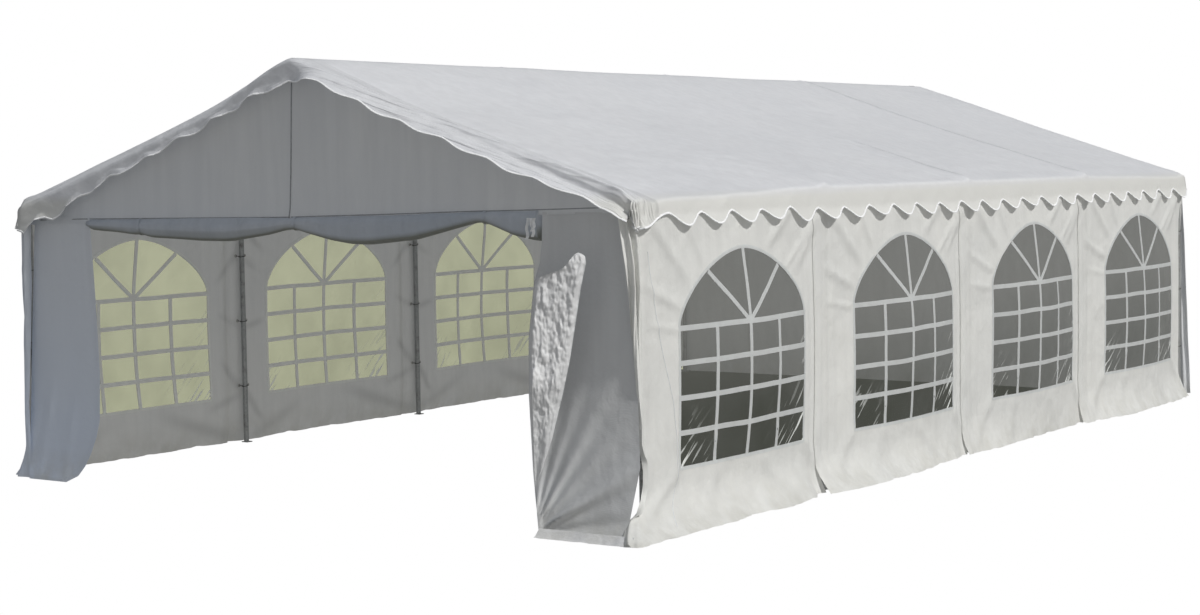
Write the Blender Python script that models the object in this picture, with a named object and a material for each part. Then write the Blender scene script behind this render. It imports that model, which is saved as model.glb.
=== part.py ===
"""A long storage tent of the marquee kind: steel tube arches under a white fabric roof.

The tent stands 5 m wide and four 2 m bays long. X runs across the gable, Y along the ridge with
the open front gable at -Y, and Z up from the ground. Every length is in metres.
"""
import math

import bmesh
import bpy
from mathutils import Matrix, Vector

# Driving dimensions of the tent
ROOF_WIDTH = 5.0
FRAME_LENGTH = 8.0
BAYS = 4
EAVE_HEIGHT = 1.83
RIDGE_HEIGHT = 2.66
ROOF_OVERHANG = 0.10

# Steel frame
TUBE_RADIUS = 0.019
SLEEVE_RADIUS = 0.0225
SOCKET_RADIUS = 0.0215
SLEEVE_LENGTH = 0.14
SOCKET_LENGTH = 0.09
SOCKET_LIP = 0.002
TUBE_SIDES = 12
FOOT_SIZE = 0.056
FOOT_THICKNESS = 0.006

# Fabric and window film, thicker than the real cloth so that each sheet is a sound solid
CLOTH = 0.006
FILM = 0.004
GAP = 0.0003
WALL_CLEARANCE = 0.022
HEM_HEIGHT = 0.004

# Arched windows, one in each bay of both long walls. The head rises straighter than an ellipse,
# which would have a power of 2.
WINDOW_WIDTH = 1.372
WINDOW_SILL = 0.342
WINDOW_SPRING = 1.134
WINDOW_TOP = 1.545
ARCH_POWER = 1.53
ARCH_STEPS = 20

# The seams of the long walls lie a little in front of the legs
SEAM_SHIFT = 0.17

# Scalloped valances
SCALLOPS_ALONG = 25
SCALLOPS_UP_GABLE = 8
VALANCE_DROP = 0.145
VALANCE_CUSP = 0.095
GABLE_DROP = 0.135
GABLE_CUSP = 0.105
SCALLOP_STEPS = 6

# Front doorway, its two side panels and the door curtain rolled up over it
SEAM_HEIGHT = 1.75
DOOR_LEFT = -1.755
DOOR_RIGHT = 1.80
FLAP_THICKNESS = 0.012
ROLL_RADIUS_Y = 0.045
ROLL_RADIUS_Z = 0.072
ROLL_SAG = 0.045
ROLL_TIES = (-1.86, -1.36, -0.03, 1.42, 1.86)
ROLL_NOTCH_HEIGHT = 1.615
ROLL_STEPS = 9
ROLL_SIDES = 12

# Worked out from the values above
SLOPE = (RIDGE_HEIGHT - EAVE_HEIGHT) / (ROOF_WIDTH / 2)
SLOPE_ANGLE = math.atan(SLOPE)
ROOF_DROP = CLOTH / math.cos(SLOPE_ANGLE)
ROOF_END = FRAME_LENGTH / 2 + ROOF_OVERHANG
WALL_OUTER = ROOF_WIDTH / 2 - WALL_CLEARANCE
WALL_INNER = WALL_OUTER - CLOTH
LEG_X = WALL_INNER - GAP - SLEEVE_RADIUS
RIDGE_AXIS = RIDGE_HEIGHT - ROOF_DROP - (GAP + SLEEVE_RADIUS) / math.cos(SLOPE_ANGLE)
EAVE_AXIS = RIDGE_AXIS - LEG_X * SLOPE
END_WALL_INNER = FRAME_LENGTH / 2 + SLEEVE_RADIUS + GAP
END_WALL_OUTER = END_WALL_INNER + CLOTH
END_PANEL_EDGE = WALL_INNER - GAP
BAY = FRAME_LENGTH / BAYS

for old in list(bpy.data.objects):
    bpy.data.objects.remove(old, do_unlink=True)


def make_material(name, colour, roughness, metallic=0.0):
    """A plain Principled material."""
    material = bpy.data.materials.new(name)
    material.use_nodes = True
    shader = material.node_tree.nodes["Principled BSDF"]
    shader.inputs["Base Color"].default_value = (*colour, 1.0)
    shader.inputs["Roughness"].default_value = roughness
    shader.inputs["Metallic"].default_value = metallic
    return material


GALVANIZED = dict(colour=(0.46, 0.47, 0.48), roughness=0.38, metallic=0.9)
WHITE_CLOTH = dict(colour=(0.80, 0.81, 0.80), roughness=0.55)
CLEAR_FILM = dict(colour=(0.42, 0.45, 0.40), roughness=0.12)


def finish_object(name, mesh_builder, look):
    """Turns a bmesh into a named object with its own material."""
    bmesh.ops.recalc_face_normals(mesh_builder, faces=mesh_builder.faces)
    mesh = bpy.data.meshes.new(name)
    mesh_builder.to_mesh(mesh)
    mesh_builder.free()
    mesh.materials.append(make_material(name, **look))
    piece = bpy.data.objects.new(name, mesh)
    bpy.context.scene.collection.objects.link(piece)
    return piece


def round_off(piece, angle=math.radians(40)):
    """Smooth shading that keeps the edges at a tube's ends sharp."""
    piece.data.shade_smooth()
    piece.data.set_sharp_from_angle(angle=angle)


def make_guide(piece):
    """Marks a shape that only cuts or joins another one."""
    piece.hide_render = True
    piece.display_type = "WIRE"
    return piece


def boolean(piece, operation, guides):
    """Joins guides to a piece, or cuts them from it."""
    for guide in guides:
        step = piece.modifiers.new(operation.lower(), "BOOLEAN")
        step.operation = operation
        step.solver = "EXACT"
        step.object = make_guide(guide)


def prism(name, outline, axis, start, end, look):
    """Extrudes a closed outline along X or Y. The outline's points are (across, up)."""
    shape = bmesh.new()
    if axis == "X":
        points = [(start, across, up) for across, up in outline]
        travel = (end - start, 0.0, 0.0)
    else:
        points = [(across, start, up) for across, up in outline]
        travel = (0.0, end - start, 0.0)
    face = shape.faces.new([shape.verts.new(point) for point in points])
    extruded = bmesh.ops.extrude_face_region(shape, geom=[face])["geom"]
    moved = [item for item in extruded if isinstance(item, bmesh.types.BMVert)]
    bmesh.ops.translate(shape, verts=moved, vec=travel)
    return finish_object(name, shape, look)


def tube(name, start, end, radius, look):
    """A solid round tube between two points."""
    start, end = Vector(start), Vector(end)
    run = end - start
    turn = run.to_track_quat("Z", "Y").to_matrix().to_4x4()
    shape = bmesh.new()
    bmesh.ops.create_cone(
        shape, cap_ends=True, segments=TUBE_SIDES, radius1=radius, radius2=radius, depth=run.length,
        matrix=Matrix.Translation((start + end) / 2) @ turn,
    )
    piece = finish_object(name, shape, look)
    round_off(piece)
    return piece


def skin(shape, rings):
    """Closes a row of rings into one solid with flat ends."""
    for first, second in zip(rings[:-1], rings[1:]):
        for side in range(len(first)):
            after = (side + 1) % len(first)
            shape.faces.new((first[side], first[after], second[after], second[side]))
    shape.faces.new(rings[0])
    shape.faces.new(rings[-1])


def box(name, low, high, look):
    """A rectangular solid between two corners."""
    outline = [(low[0], low[2]), (high[0], low[2]), (high[0], high[2]), (low[0], high[2])]
    return prism(name, outline, "Y", low[1], high[1], look)


def roof_underside(x):
    """Height of the roof cloth's lower face at a distance from the ridge."""
    return RIDGE_HEIGHT - ROOF_DROP - abs(x) * SLOPE


def window_outline(centre, inset):
    """Sill, jambs and arched head of a window, drawn in by inset on every side."""
    half = WINDOW_WIDTH / 2 - inset
    rise = WINDOW_TOP - WINDOW_SPRING - inset
    outline = [(centre - half, WINDOW_SILL + inset), (centre + half, WINDOW_SILL + inset)]
    for step in range(ARCH_STEPS + 1):
        angle = math.pi * step / ARCH_STEPS
        across = math.copysign(abs(math.cos(angle)) ** (2 / ARCH_POWER), math.cos(angle))
        up = abs(math.sin(angle)) ** (2 / ARCH_POWER)
        outline.append((centre + half * across, WINDOW_SPRING + rise * up))
    return outline


def scallops(start, end, count, top, drop, cusp):
    """The lower edge of a valance from start to end: round lobes that meet in points."""
    edge = []
    for number in range(count):
        for step in range(SCALLOP_STEPS):
            share = (number + step / SCALLOP_STEPS) / count
            lobe = math.sin(math.pi * step / SCALLOP_STEPS)
            across = start + (end - start) * share
            edge.append((across, top(across) - cusp - (drop - cusp) * lobe))
    edge.append((end, top(end) - cusp))
    return edge


def frame_tube(name, start, end, socket_start):
    """A frame tube with a thicker connector socket at its end, and one at its start if asked."""
    start, end = Vector(start), Vector(end)
    along = (end - start).normalized()
    spans = [(end - along * SOCKET_LENGTH, end)]
    tube_start, tube_end = start, end - along * SOCKET_LIP
    if socket_start:
        spans.append((start, start + along * SOCKET_LENGTH))
        tube_start = start + along * SOCKET_LIP
    piece = tube(name, tube_start, tube_end, TUBE_RADIUS, GALVANIZED)
    sockets = [
        tube(f"{name}_socket_{number + 1}", low, high, SOCKET_RADIUS, GALVANIZED)
        for number, (low, high) in enumerate(spans)
    ]
    boolean(piece, "UNION", sockets)
    return piece


def make_legs():
    """Five legs on each side, each a tube on a flat steel foot, with its socket under the eave rail."""
    top = EAVE_AXIS - SLEEVE_RADIUS - GAP
    for side, sign in (("left", -1), ("right", 1)):
        x = sign * LEG_X
        inner = x - sign * (FOOT_SIZE - SLEEVE_RADIUS)
        outer = x + sign * SLEEVE_RADIUS
        for number in range(BAYS + 1):
            y = -FRAME_LENGTH / 2 + number * BAY
            reach = min(FOOT_SIZE / 2, END_WALL_INNER - GAP - abs(y))
            low_y = y - (reach if y < 0 else FOOT_SIZE / 2)
            high_y = y + (reach if y > 0 else FOOT_SIZE / 2)
            name = f"leg_{side}_{number + 1}"
            foot = box(
                name + "_foot", (min(inner, outer), low_y, 0.0), (max(inner, outer), high_y, FOOT_THICKNESS),
                GALVANIZED,
            )
            leg = frame_tube(name, (x, y, FOOT_THICKNESS / 2), (x, y, top), socket_start=False)
            boolean(leg, "UNION", [foot])


def make_rafters():
    """A pair of rafters over each pair of legs, socketed against the eave rail and the ridge rail."""
    along = Vector((math.cos(SLOPE_ANGLE), 0.0, -math.sin(SLOPE_ANGLE))) * (SLEEVE_RADIUS + GAP)
    for number in range(BAYS + 1):
        y = -FRAME_LENGTH / 2 + number * BAY
        top = Vector((0.0, y, RIDGE_AXIS)) + along
        foot = Vector((LEG_X, y, EAVE_AXIS)) - along
        for side, sign in (("left", -1), ("right", 1)):
            start = (sign * foot.x, y, foot.z)
            end = (sign * top.x, y, top.z)
            frame_tube(f"rafter_{side}_{number + 1}", start, end, socket_start=True)


def make_rail(name, x, z):
    """A long rail with a connector sleeve round it at every arch."""
    half = FRAME_LENGTH / 2
    rail = tube(name, (x, -half, z), (x, half, z), TUBE_RADIUS, GALVANIZED)
    sleeves = []
    for number in range(BAYS + 1):
        y = -half + number * BAY
        low = max(y - SLEEVE_LENGTH / 2, -half - SLEEVE_RADIUS)
        high = min(y + SLEEVE_LENGTH / 2, half + SLEEVE_RADIUS)
        sleeve_name = f"{name}_sleeve_{number + 1}"
        sleeves.append(tube(sleeve_name, (x, low, z), (x, high, z), SLEEVE_RADIUS, GALVANIZED))
    boolean(rail, "UNION", sleeves)


def make_rails():
    """The ridge rail and the two eave rails."""
    make_rail("ridge_rail", 0.0, RIDGE_AXIS)
    make_rail("eave_rail_left", -LEG_X, EAVE_AXIS)
    make_rail("eave_rail_right", LEG_X, EAVE_AXIS)


def make_roof():
    """Two sloping sheets that meet at the ridge."""
    edge = ROOF_WIDTH / 2
    for side, sign in (("left", -1), ("right", 1)):
        middle = sign * GAP / 2
        outline = [
            (middle, RIDGE_HEIGHT), (middle, roof_underside(0)),
            (sign * edge, roof_underside(edge)), (sign * edge, EAVE_HEIGHT),
        ]
        prism(f"roof_{side}", outline, "Y", -ROOF_END, ROOF_END, WHITE_CLOTH)


def make_eave_valances():
    """Scalloped strips that hang from the roof's long edges."""
    outer = ROOF_WIDTH / 2
    inner = outer - CLOTH
    end = ROOF_END - CLOTH - GAP
    top = roof_underside(outer) - GAP
    for side, sign in (("left", -1), ("right", 1)):
        edge = scallops(-end, end, SCALLOPS_ALONG, lambda y: EAVE_HEIGHT, VALANCE_DROP, VALANCE_CUSP)
        outline = edge + [(end, top), (-end, top)]
        low, high = sorted((sign * inner, sign * outer))
        prism(f"eave_valance_{side}", outline, "X", low, high, WHITE_CLOTH)


def make_gable_valances():
    """Scalloped strips that hang from the roof's sloping ends."""
    edge_x = ROOF_WIDTH / 2

    def roof_top(x):
        return RIDGE_HEIGHT - abs(x) * SLOPE

    lower = scallops(-edge_x, 0.0, SCALLOPS_UP_GABLE, roof_top, GABLE_DROP, GABLE_CUSP)[:-1]
    lower += scallops(0.0, edge_x, SCALLOPS_UP_GABLE, roof_top, GABLE_DROP, GABLE_CUSP)
    upper = [(x, roof_underside(x) - GAP) for x in (edge_x, 0.0, -edge_x)]
    for end, sign in (("front", -1), ("rear", 1)):
        low, high = sorted((sign * (ROOF_END - CLOTH), sign * ROOF_END))
        prism(f"gable_valance_{end}", lower + upper, "Y", low, high, WHITE_CLOTH)


def make_long_walls():
    """Four panels a side, each with an arched window of clear film."""
    seams = [-FRAME_LENGTH / 2 + number * BAY - SEAM_SHIFT for number in range(1, BAYS)]
    edges = [-END_WALL_OUTER] + seams + [END_WALL_OUTER]
    top = roof_underside(WALL_OUTER) - GAP
    middle = (WALL_INNER + WALL_OUTER) / 2
    for side, sign in (("left", -1), ("right", 1)):
        low, high = sorted((sign * WALL_INNER, sign * WALL_OUTER))
        film_low, film_high = sign * middle - FILM / 2, sign * middle + FILM / 2
        for number in range(BAYS):
            start, end = edges[number] + GAP / 2, edges[number + 1] - GAP / 2
            centre = -FRAME_LENGTH / 2 + (number + 0.5) * BAY
            outline = [(start, HEM_HEIGHT), (end, HEM_HEIGHT), (end, top), (start, top)]
            panel = prism(f"side_panel_{side}_{number + 1}", outline, "X", low, high, WHITE_CLOTH)
            cut_name, cut_outline = f"window_cut_{side}_{number + 1}", window_outline(centre, 0.0)
            cutter = prism(cut_name, cut_outline, "X", low - CLOTH, high + CLOTH, WHITE_CLOTH)
            boolean(panel, "DIFFERENCE", [cutter])
            film_outline = window_outline(centre, GAP)
            prism(f"window_{side}_{number + 1}", film_outline, "X", film_low, film_high, CLEAR_FILM)


def gable_outline(base, sheet_edge):
    """The end wall's shape from base up to the roof."""
    top_corner = roof_underside(sheet_edge) - GAP
    return [
        (-sheet_edge, base), (sheet_edge, base), (sheet_edge, top_corner),
        (0.0, roof_underside(0) - GAP), (-sheet_edge, top_corner),
    ]


def make_front_wall():
    """The front gable, the panels beside the doorway and the curtain rolled up above it."""
    outer, inner = -END_WALL_OUTER, -END_WALL_INNER
    prism("front_gable", gable_outline(SEAM_HEIGHT, END_PANEL_EDGE), "Y", outer, inner, WHITE_CLOTH)

    top = SEAM_HEIGHT - GAP
    notch_left, notch_right = ROLL_TIES[0] - GAP, ROLL_TIES[-1] + GAP
    left_outline = [
        (-END_PANEL_EDGE, HEM_HEIGHT), (-1.98, HEM_HEIGHT), (-1.87, 0.09), (-1.79, 0.20),
        (DOOR_LEFT, 0.34), (DOOR_LEFT + 0.01, 0.60), (DOOR_LEFT, 1.10),
        (DOOR_LEFT - 0.02, ROLL_NOTCH_HEIGHT), (notch_left, ROLL_NOTCH_HEIGHT), (notch_left, top),
        (-END_PANEL_EDGE, top),
    ]
    prism("front_panel_left", left_outline, "Y", outer, inner, WHITE_CLOTH)

    right_outline = [
        (END_PANEL_EDGE, HEM_HEIGHT), (END_PANEL_EDGE, top), (notch_right, top),
        (notch_right, ROLL_NOTCH_HEIGHT), (DOOR_RIGHT + 0.02, 1.40), (DOOR_RIGHT - 0.02, 0.95),
        (DOOR_RIGHT - 0.02, 0.56), (DOOR_RIGHT + 0.01, HEM_HEIGHT),
    ]
    panel = prism("front_panel_right", right_outline, "Y", outer, inner, WHITE_CLOTH)
    flap_outline = [
        (DOOR_RIGHT + 0.018, 1.35), (1.96, 1.43), (2.07, 1.50), (2.15, 1.57), (2.22, 1.52),
        (2.20, 1.36), (2.12, 0.98), (2.06, 0.78), (1.98, 0.55), (1.86, 0.34),
        (DOOR_RIGHT - 0.016, 0.56), (DOOR_RIGHT - 0.016, 0.95),
    ]
    middle = (outer + inner) / 2
    flap = prism("front_flap_shape", flap_outline, "Y", outer - FLAP_THICKNESS, middle, WHITE_CLOTH)
    boolean(panel, "UNION", [flap])
    make_door_roll()


def make_door_roll():
    """The rolled curtain: a soft roll that sags between its ties and is drawn thin at each one."""
    shape = bmesh.new()
    rings = []
    centre_y = -END_WALL_INNER + ROLL_RADIUS_Y - CLOTH - FLAP_THICKNESS
    ceiling = SEAM_HEIGHT - GAP
    spans = list(zip(ROLL_TIES[:-1], ROLL_TIES[1:]))
    stations = [(start + (end - start) * step / ROLL_STEPS, step / ROLL_STEPS, end - start)
                for start, end in spans for step in range(ROLL_STEPS)]
    stations.append((ROLL_TIES[-1], 1.0, spans[-1][1] - spans[-1][0]))
    longest = max(end - start for start, end in spans)
    for x, share, length in stations:
        belly = math.sin(math.pi * share)
        half_height = ROLL_RADIUS_Z * (0.78 + 0.22 * belly)
        half_depth = ROLL_RADIUS_Y * (0.86 + 0.14 * belly)
        centre_z = ceiling - half_height - ROLL_SAG * belly * length / longest
        ring = []
        for side in range(ROLL_SIDES):
            angle = 2 * math.pi * side / ROLL_SIDES
            y = centre_y + half_depth * math.cos(angle)
            ring.append(shape.verts.new((x, y, centre_z + half_height * math.sin(angle))))
        rings.append(ring)
    skin(shape, rings)
    piece = finish_object("front_door_roll", shape, WHITE_CLOTH)
    round_off(piece)


def make_rear_wall():
    """The closed rear end, one sheet from ground to roof."""
    outline = gable_outline(HEM_HEIGHT, END_PANEL_EDGE)
    prism("rear_wall", outline, "Y", END_WALL_INNER, END_WALL_OUTER, WHITE_CLOTH)


make_legs()
make_rafters()
make_rails()
make_roof()
make_eave_valances()
make_gable_valances()
make_long_walls()
make_front_wall()
make_rear_wall()
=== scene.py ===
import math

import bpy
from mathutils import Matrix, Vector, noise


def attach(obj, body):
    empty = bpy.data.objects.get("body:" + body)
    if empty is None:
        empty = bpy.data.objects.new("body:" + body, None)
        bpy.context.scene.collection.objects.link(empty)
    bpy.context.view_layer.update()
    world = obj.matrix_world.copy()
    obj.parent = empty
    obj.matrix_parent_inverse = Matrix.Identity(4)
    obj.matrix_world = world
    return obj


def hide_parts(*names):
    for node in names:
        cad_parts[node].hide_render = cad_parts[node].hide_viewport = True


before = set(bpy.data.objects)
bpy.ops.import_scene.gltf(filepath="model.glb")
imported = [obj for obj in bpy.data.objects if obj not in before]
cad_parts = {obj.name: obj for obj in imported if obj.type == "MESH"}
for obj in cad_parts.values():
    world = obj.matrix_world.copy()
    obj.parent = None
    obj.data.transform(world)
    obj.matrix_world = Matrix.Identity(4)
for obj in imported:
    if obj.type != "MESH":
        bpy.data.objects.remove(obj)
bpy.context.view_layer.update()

# The dressed storage tent: cloth, window film and fittings built round the steel frame.
# X runs across the gable, Y along the ridge with the open front at -Y, Z up, all in metres.
# Many shapes are tables of (position, value) pairs, which between() reads at one position.
# Long walls have the side -1 (left) or 1 (right), gable ends the end -1 (front) or 1 (rear).

scene = bpy.context.scene

# Sizes that follow the CAD source
HALF_WIDTH = 2.5
RIDGE = 2.66
EAVE = 1.83
SLOPE = (RIDGE - EAVE) / HALF_WIDTH
SLOPE_ANGLE = math.atan(SLOPE)
ROOF_END = 4.094
WALL_X = 2.475
END_Y = 4.0258
LEG_X = 2.4492
BAY = 2.0
ARCHES = (-4.0, -2.0, 0.0, 2.0, 4.0)
WALL_SEAMS = (-2.17, -0.17, 1.83)
WALL_TOP = 1.825
WINDOW_HALF = 0.686
WINDOW_SILL = 0.342
WINDOW_SPRING = 1.134
WINDOW_RISE = 0.411
WINDOW_CENTRES = (-3.0, -1.0, 1.0, 3.0)
SIDES = ((-1, "left"), (1, "right"))

# The window's head is a power curve with a rounded apex, a little rounder than in the CAD source
ARCH_POWER = 1.60
ARCH_ROUNDING = 0.02


def clamp(value, low=0.0, high=1.0):
    return max(low, min(high, value))


def smooth(value):
    value = clamp(value)
    return value * value * (3 - 2 * value)


def wobble(a, b, seed):
    """Smooth noise between -1 and 1."""
    return noise.noise(Vector((a, b, seed)))


def bell(distance, width):
    return math.exp(-(distance / width) ** 2)


def fold(a, b, start, end, width):
    """Height between 0 and 1 of a soft ridge that runs from start to end and fades at both ends."""
    run = (end[0] - start[0], end[1] - start[1])
    length = math.hypot(*run)
    along = ((a - start[0]) * run[0] + (b - start[1]) * run[1]) / length ** 2
    if along < -0.2 or along > 1.2:
        return 0.0
    off = ((a - start[0]) * run[1] - (b - start[1]) * run[0]) / length
    return bell(off, width) * smooth((along + 0.2) / 0.35) * smooth((1.2 - along) / 0.6)


def between(table, value, eased=False):
    """Reads a table at one position, straight or eased from one pair to the next."""
    if value <= table[0][0]:
        return table[0][1]
    for (low, first), (high, second) in zip(table[:-1], table[1:]):
        if value <= high:
            share = (value - low) / (high - low)
            return first + (second - first) * (smooth(share) if eased else share)
    return table[-1][1]


def waves(a, b, seed, *parts):
    """A sum of noise waves, each with its height and its rates along a and along b."""
    return sum(height * wobble(a * rate_a, b * rate_b, seed + number)
               for number, (height, rate_a, rate_b) in enumerate(parts))


def arch_height(share):
    """Height of the window's arched head, 0 to 1, at a share of the way from its middle to its jamb."""
    def spread(square):
        return (square + ARCH_ROUNDING) ** (ARCH_POWER / 2)
    fall = (spread(share * share) - spread(0.0)) / (spread(1.0) - spread(0.0))
    return max(0.0, 1 - fall) ** (1 / ARCH_POWER)


def arch_reach(angle):
    """Distance from the middle of the springing line to the arch, in the direction of an angle."""
    low, high = 0.0, WINDOW_HALF + WINDOW_RISE
    for _ in range(24):
        middle = (low + high) / 2
        share = middle * abs(math.cos(angle)) / WINDOW_HALF
        if share < 1 and middle * abs(math.sin(angle)) < WINDOW_RISE * arch_height(share):
            low = middle
        else:
            high = middle
    return low


# Materials
class Look:
    """The nodes of a material, or of another owner such as the world, built step by step."""

    def __init__(self, name, owner=None):
        self.owner = owner or bpy.data.materials.new(name)
        self.owner.use_nodes = True
        self.tree = self.owner.node_tree
        self.tree.nodes.clear()
        self.coordinates = self.node("ShaderNodeTexCoord").outputs
        self.place = self.coordinates["Object"]

    def node(self, kind, **inputs):
        made = self.tree.nodes.new(kind)
        for key, value in inputs.items():
            self.feed(made.inputs[key.replace("_", " ")], value)
        return made

    def feed(self, socket, value):
        if isinstance(value, bpy.types.NodeSocket):
            self.tree.links.new(value, socket)
        else:
            socket.default_value = value

    def noise(self, scale, detail=3.0, stretch=(1, 1, 1), turn=(0, 0, 0), roughness=0.55):
        """Noise whose grains are stretch times as long on each axis, then turned."""
        mapping = self.node("ShaderNodeMapping", Vector=self.place, Scale=stretch, Rotation=turn)
        mapping.vector_type = "TEXTURE"
        made = self.node("ShaderNodeTexNoise", Vector=mapping.outputs[0], Scale=scale, Detail=detail,
                         Roughness=roughness)
        return made.outputs["Fac"]

    def bands(self, direction, scale):
        made = self.node("ShaderNodeTexWave", Vector=self.place, Scale=scale)
        made.bands_direction = direction
        return made.outputs["Fac"]

    def remap(self, value, low, high, to_low, to_high):
        return self.node("ShaderNodeMapRange", Value=value, From_Min=low, From_Max=high, To_Min=to_low,
                         To_Max=to_high).outputs["Result"]

    def patches(self, scale, detail, low=0.3, high=0.7, to_low=0.0, to_high=1.0, **grain):
        """Noise whose values from low to high are spread over another range."""
        return self.remap(self.noise(scale, detail, **grain), low, high, to_low, to_high)

    def math(self, operation, first, second):
        made = self.node("ShaderNodeMath")
        made.operation = operation
        self.feed(made.inputs[0], first)
        self.feed(made.inputs[1], second)
        return made.outputs[0]

    def times(self, first, second):
        return self.math("MULTIPLY", first, second)

    def mix(self, share, first, second):
        """Mixes two colours, each given as three numbers or as the output of a node."""
        made = self.node("ShaderNodeMix")
        made.data_type = "RGBA"
        for slot, value in ((0, share), (6, first), (7, second)):
            self.feed(made.inputs[slot], (*value, 1) if isinstance(value, tuple) else value)
        return made.outputs[2]

    def bump(self, height, distance, normal=None):
        made = self.node("ShaderNodeBump", Height=height, Distance=distance, Strength=1.0)
        if normal:
            self.feed(made.inputs["Normal"], normal)
        return made.outputs["Normal"]

    def axis(self, name, place=None):
        return self.node("ShaderNodeSeparateXYZ", Vector=place or self.place).outputs[name]

    def attribute(self, name):
        made = self.node("ShaderNodeAttribute")
        made.attribute_name = name
        return made.outputs["Fac"]

    def surface(self, colour, rough, normal, **inputs):
        return self.node("ShaderNodeBsdfPrincipled", Base_Color=colour, Roughness=rough, Normal=normal,
                         **inputs)

    def blend(self, share, first, second):
        """Mixes two shaders."""
        made = self.node("ShaderNodeMixShader")
        for slot, value in enumerate((share, first.outputs[0], second.outputs[0])):
            self.feed(made.inputs[slot], value)
        return made

    def finish(self, shader, output="ShaderNodeOutputMaterial"):
        self.node(output, Surface=shader.outputs[0])
        return self.owner


def darker(colour, share):
    return tuple(share * part for part in colour)


DIRT_HEIGHT, DIRT_COLOUR = 0.22, (0.56, 0.55, 0.49)
STREAKS = 0.28
WEAVE_SCALE = 100
CREASE_NOISE = ((5.0, 0.0100, 0.55), (7.0, 0.0070, -0.75))
PLEAT_NOISE = ((12, 0.060), (38, 0.022))


def cloth_look(name, colour, shade, glow, crinkle, painted_shade_tint=None, below=None, painted_underside_shade=None,
               front_pleats=False, painted_crease_shade=False):
    """Woven sheeting: a fine weave, small crinkles, a little dirt near the ground.

    glow is the share of light that comes through, and crinkle scales the depth of the crinkles.
    painted_shade_tint is a colour of painted shade that the lower and left parts take on, below is a height
    and the colour of painted light under it, and painted_underside_shade the colour of painted shade on faces
    that look down. front_pleats adds pleats along the front edge, and painted_crease_shade paints shade along
    the crease lines that a piece stores.
    """
    look = Look(name)
    base = look.mix(look.patches(1.3, 3), colour, shade)
    streaks = look.patches(15, 3, 0.35, 0.65, to_high=STREAKS, stretch=(1, 1, 10))
    base = look.mix(streaks, base, darker(shade, 0.86))
    # Painted shade: the lower and left parts take on a bluish shade colour.
    if painted_shade_tint:
        low = look.remap(look.axis("Z"), 0.4, 2.2, 1.0, 0.0)
        left = look.remap(look.axis("X"), -2.0, 1.4, 1.0, 0.1)
        base = look.mix(look.times(low, left), base, painted_shade_tint)
    # Painted light: under the given height the cloth takes a second tone.
    if below:
        height, under = below
        base = look.mix(look.remap(look.axis("Z"), height - 0.03, height + 0.03, 1.0, 0.0), base, under)
    # Painted shade: faces that look down take a dark colour.
    if painted_underside_shade:
        upward = look.axis("Z", look.coordinates["Normal"])
        base = look.mix(look.remap(upward, -0.75, -0.15, 1.0, 0.0), base, painted_underside_shade)
    # Painted shade along the crease lines that the piece stores.
    if painted_crease_shade:
        base = look.mix(look.times(look.attribute("crease"), 0.42), base, darker(shade, 0.45))
    low = look.remap(look.axis("Z"), 0.0, DIRT_HEIGHT, 1.0, 0.0)
    base = look.mix(look.times(low, look.patches(7, 5, 0.35, 0.75, to_high=0.6)), base, DIRT_COLOUR)
    normal = look.bump(look.noise(5.5, 4, roughness=0.5), 0.010 * crinkle)
    for scale, depth, turn in CREASE_NOISE:
        creases = look.noise(scale, 1, stretch=(1, 1, 6), turn=(turn, turn, 0), roughness=0.4)
        patches = look.patches(1.6 + turn * 0.3, 1, 0.44, 0.64, 0.1)
        normal = look.bump(look.times(creases, patches), depth * crinkle, normal)
    if front_pleats:
        front = look.remap(look.axis("Y"), -3.97, -3.86, 1.0, 0.0)
        front = look.times(front, look.remap(look.axis("X"), -0.8, 0.6, 0.45, 1.0))
        for scale, depth in PLEAT_NOISE:
            pleats = look.noise(scale, 2, stretch=(14, 1, 4), turn=(0, 0.32, 0.08), roughness=0.5)
            normal = look.bump(look.times(pleats, front), depth, normal)
    normal = look.bump(look.noise(34, 5, stretch=(1, 1, 1.7)), 0.0016 * crinkle, normal)
    level, across, upright = (look.bands(direction, WEAVE_SCALE) for direction in "YXZ")
    weave = look.math("ADD", upright, look.math("ADD", across, level))
    normal = look.bump(weave, 0.00012, normal)
    rough = look.patches(22, 4, to_low=0.42, to_high=0.60)
    front = look.surface(base, rough, normal, Sheen_Weight=0.12, Sheen_Roughness=0.5)
    through = look.node("ShaderNodeBsdfTranslucent", Color=base, Normal=normal)
    return look.finish(look.blend(glow, front, through))


def film_look(name):
    """Clear window film, slightly smoky, with wrinkles that shine, painted light in its upper part, and
    painted highlights along its crease lines.
    """
    look = Look(name)
    base = look.mix(look.patches(2.0, 3), (0.068, 0.073, 0.062), (0.098, 0.103, 0.094))
    # Painted light: the film is lighter from 0.62 m up, for the lit inside seen through it.
    base = look.mix(look.remap(look.axis("Z"), 0.62, 1.10, 0.0, 1.0), base, (0.157, 0.160, 0.150))
    lean = (-0.80, 0, 0)
    # Painted highlights: whitish streaks along the creases that the piece stores.
    streaks = look.patches(46, 2, 0.60, 0.66, stretch=(1, 1, 14), turn=lean, roughness=0.3)
    creases = look.times(streaks, look.attribute("crease"))
    base = look.mix(creases, base, (0.80, 0.82, 0.80))
    normal = look.bump(look.noise(4.5, 3, stretch=(1, 1, 2), turn=lean), 0.010)
    normal = look.bump(look.noise(26, 4, stretch=(1, 1, 3), turn=lean), 0.0014, normal)
    rough = look.patches(11, 4, to_low=0.06, to_high=0.18)
    alpha = look.math("ADD", look.patches(3.0, 3, to_low=0.60, to_high=0.67), look.times(creases, 0.3))
    return look.finish(look.surface(base, rough, normal, Alpha=alpha))


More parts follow.
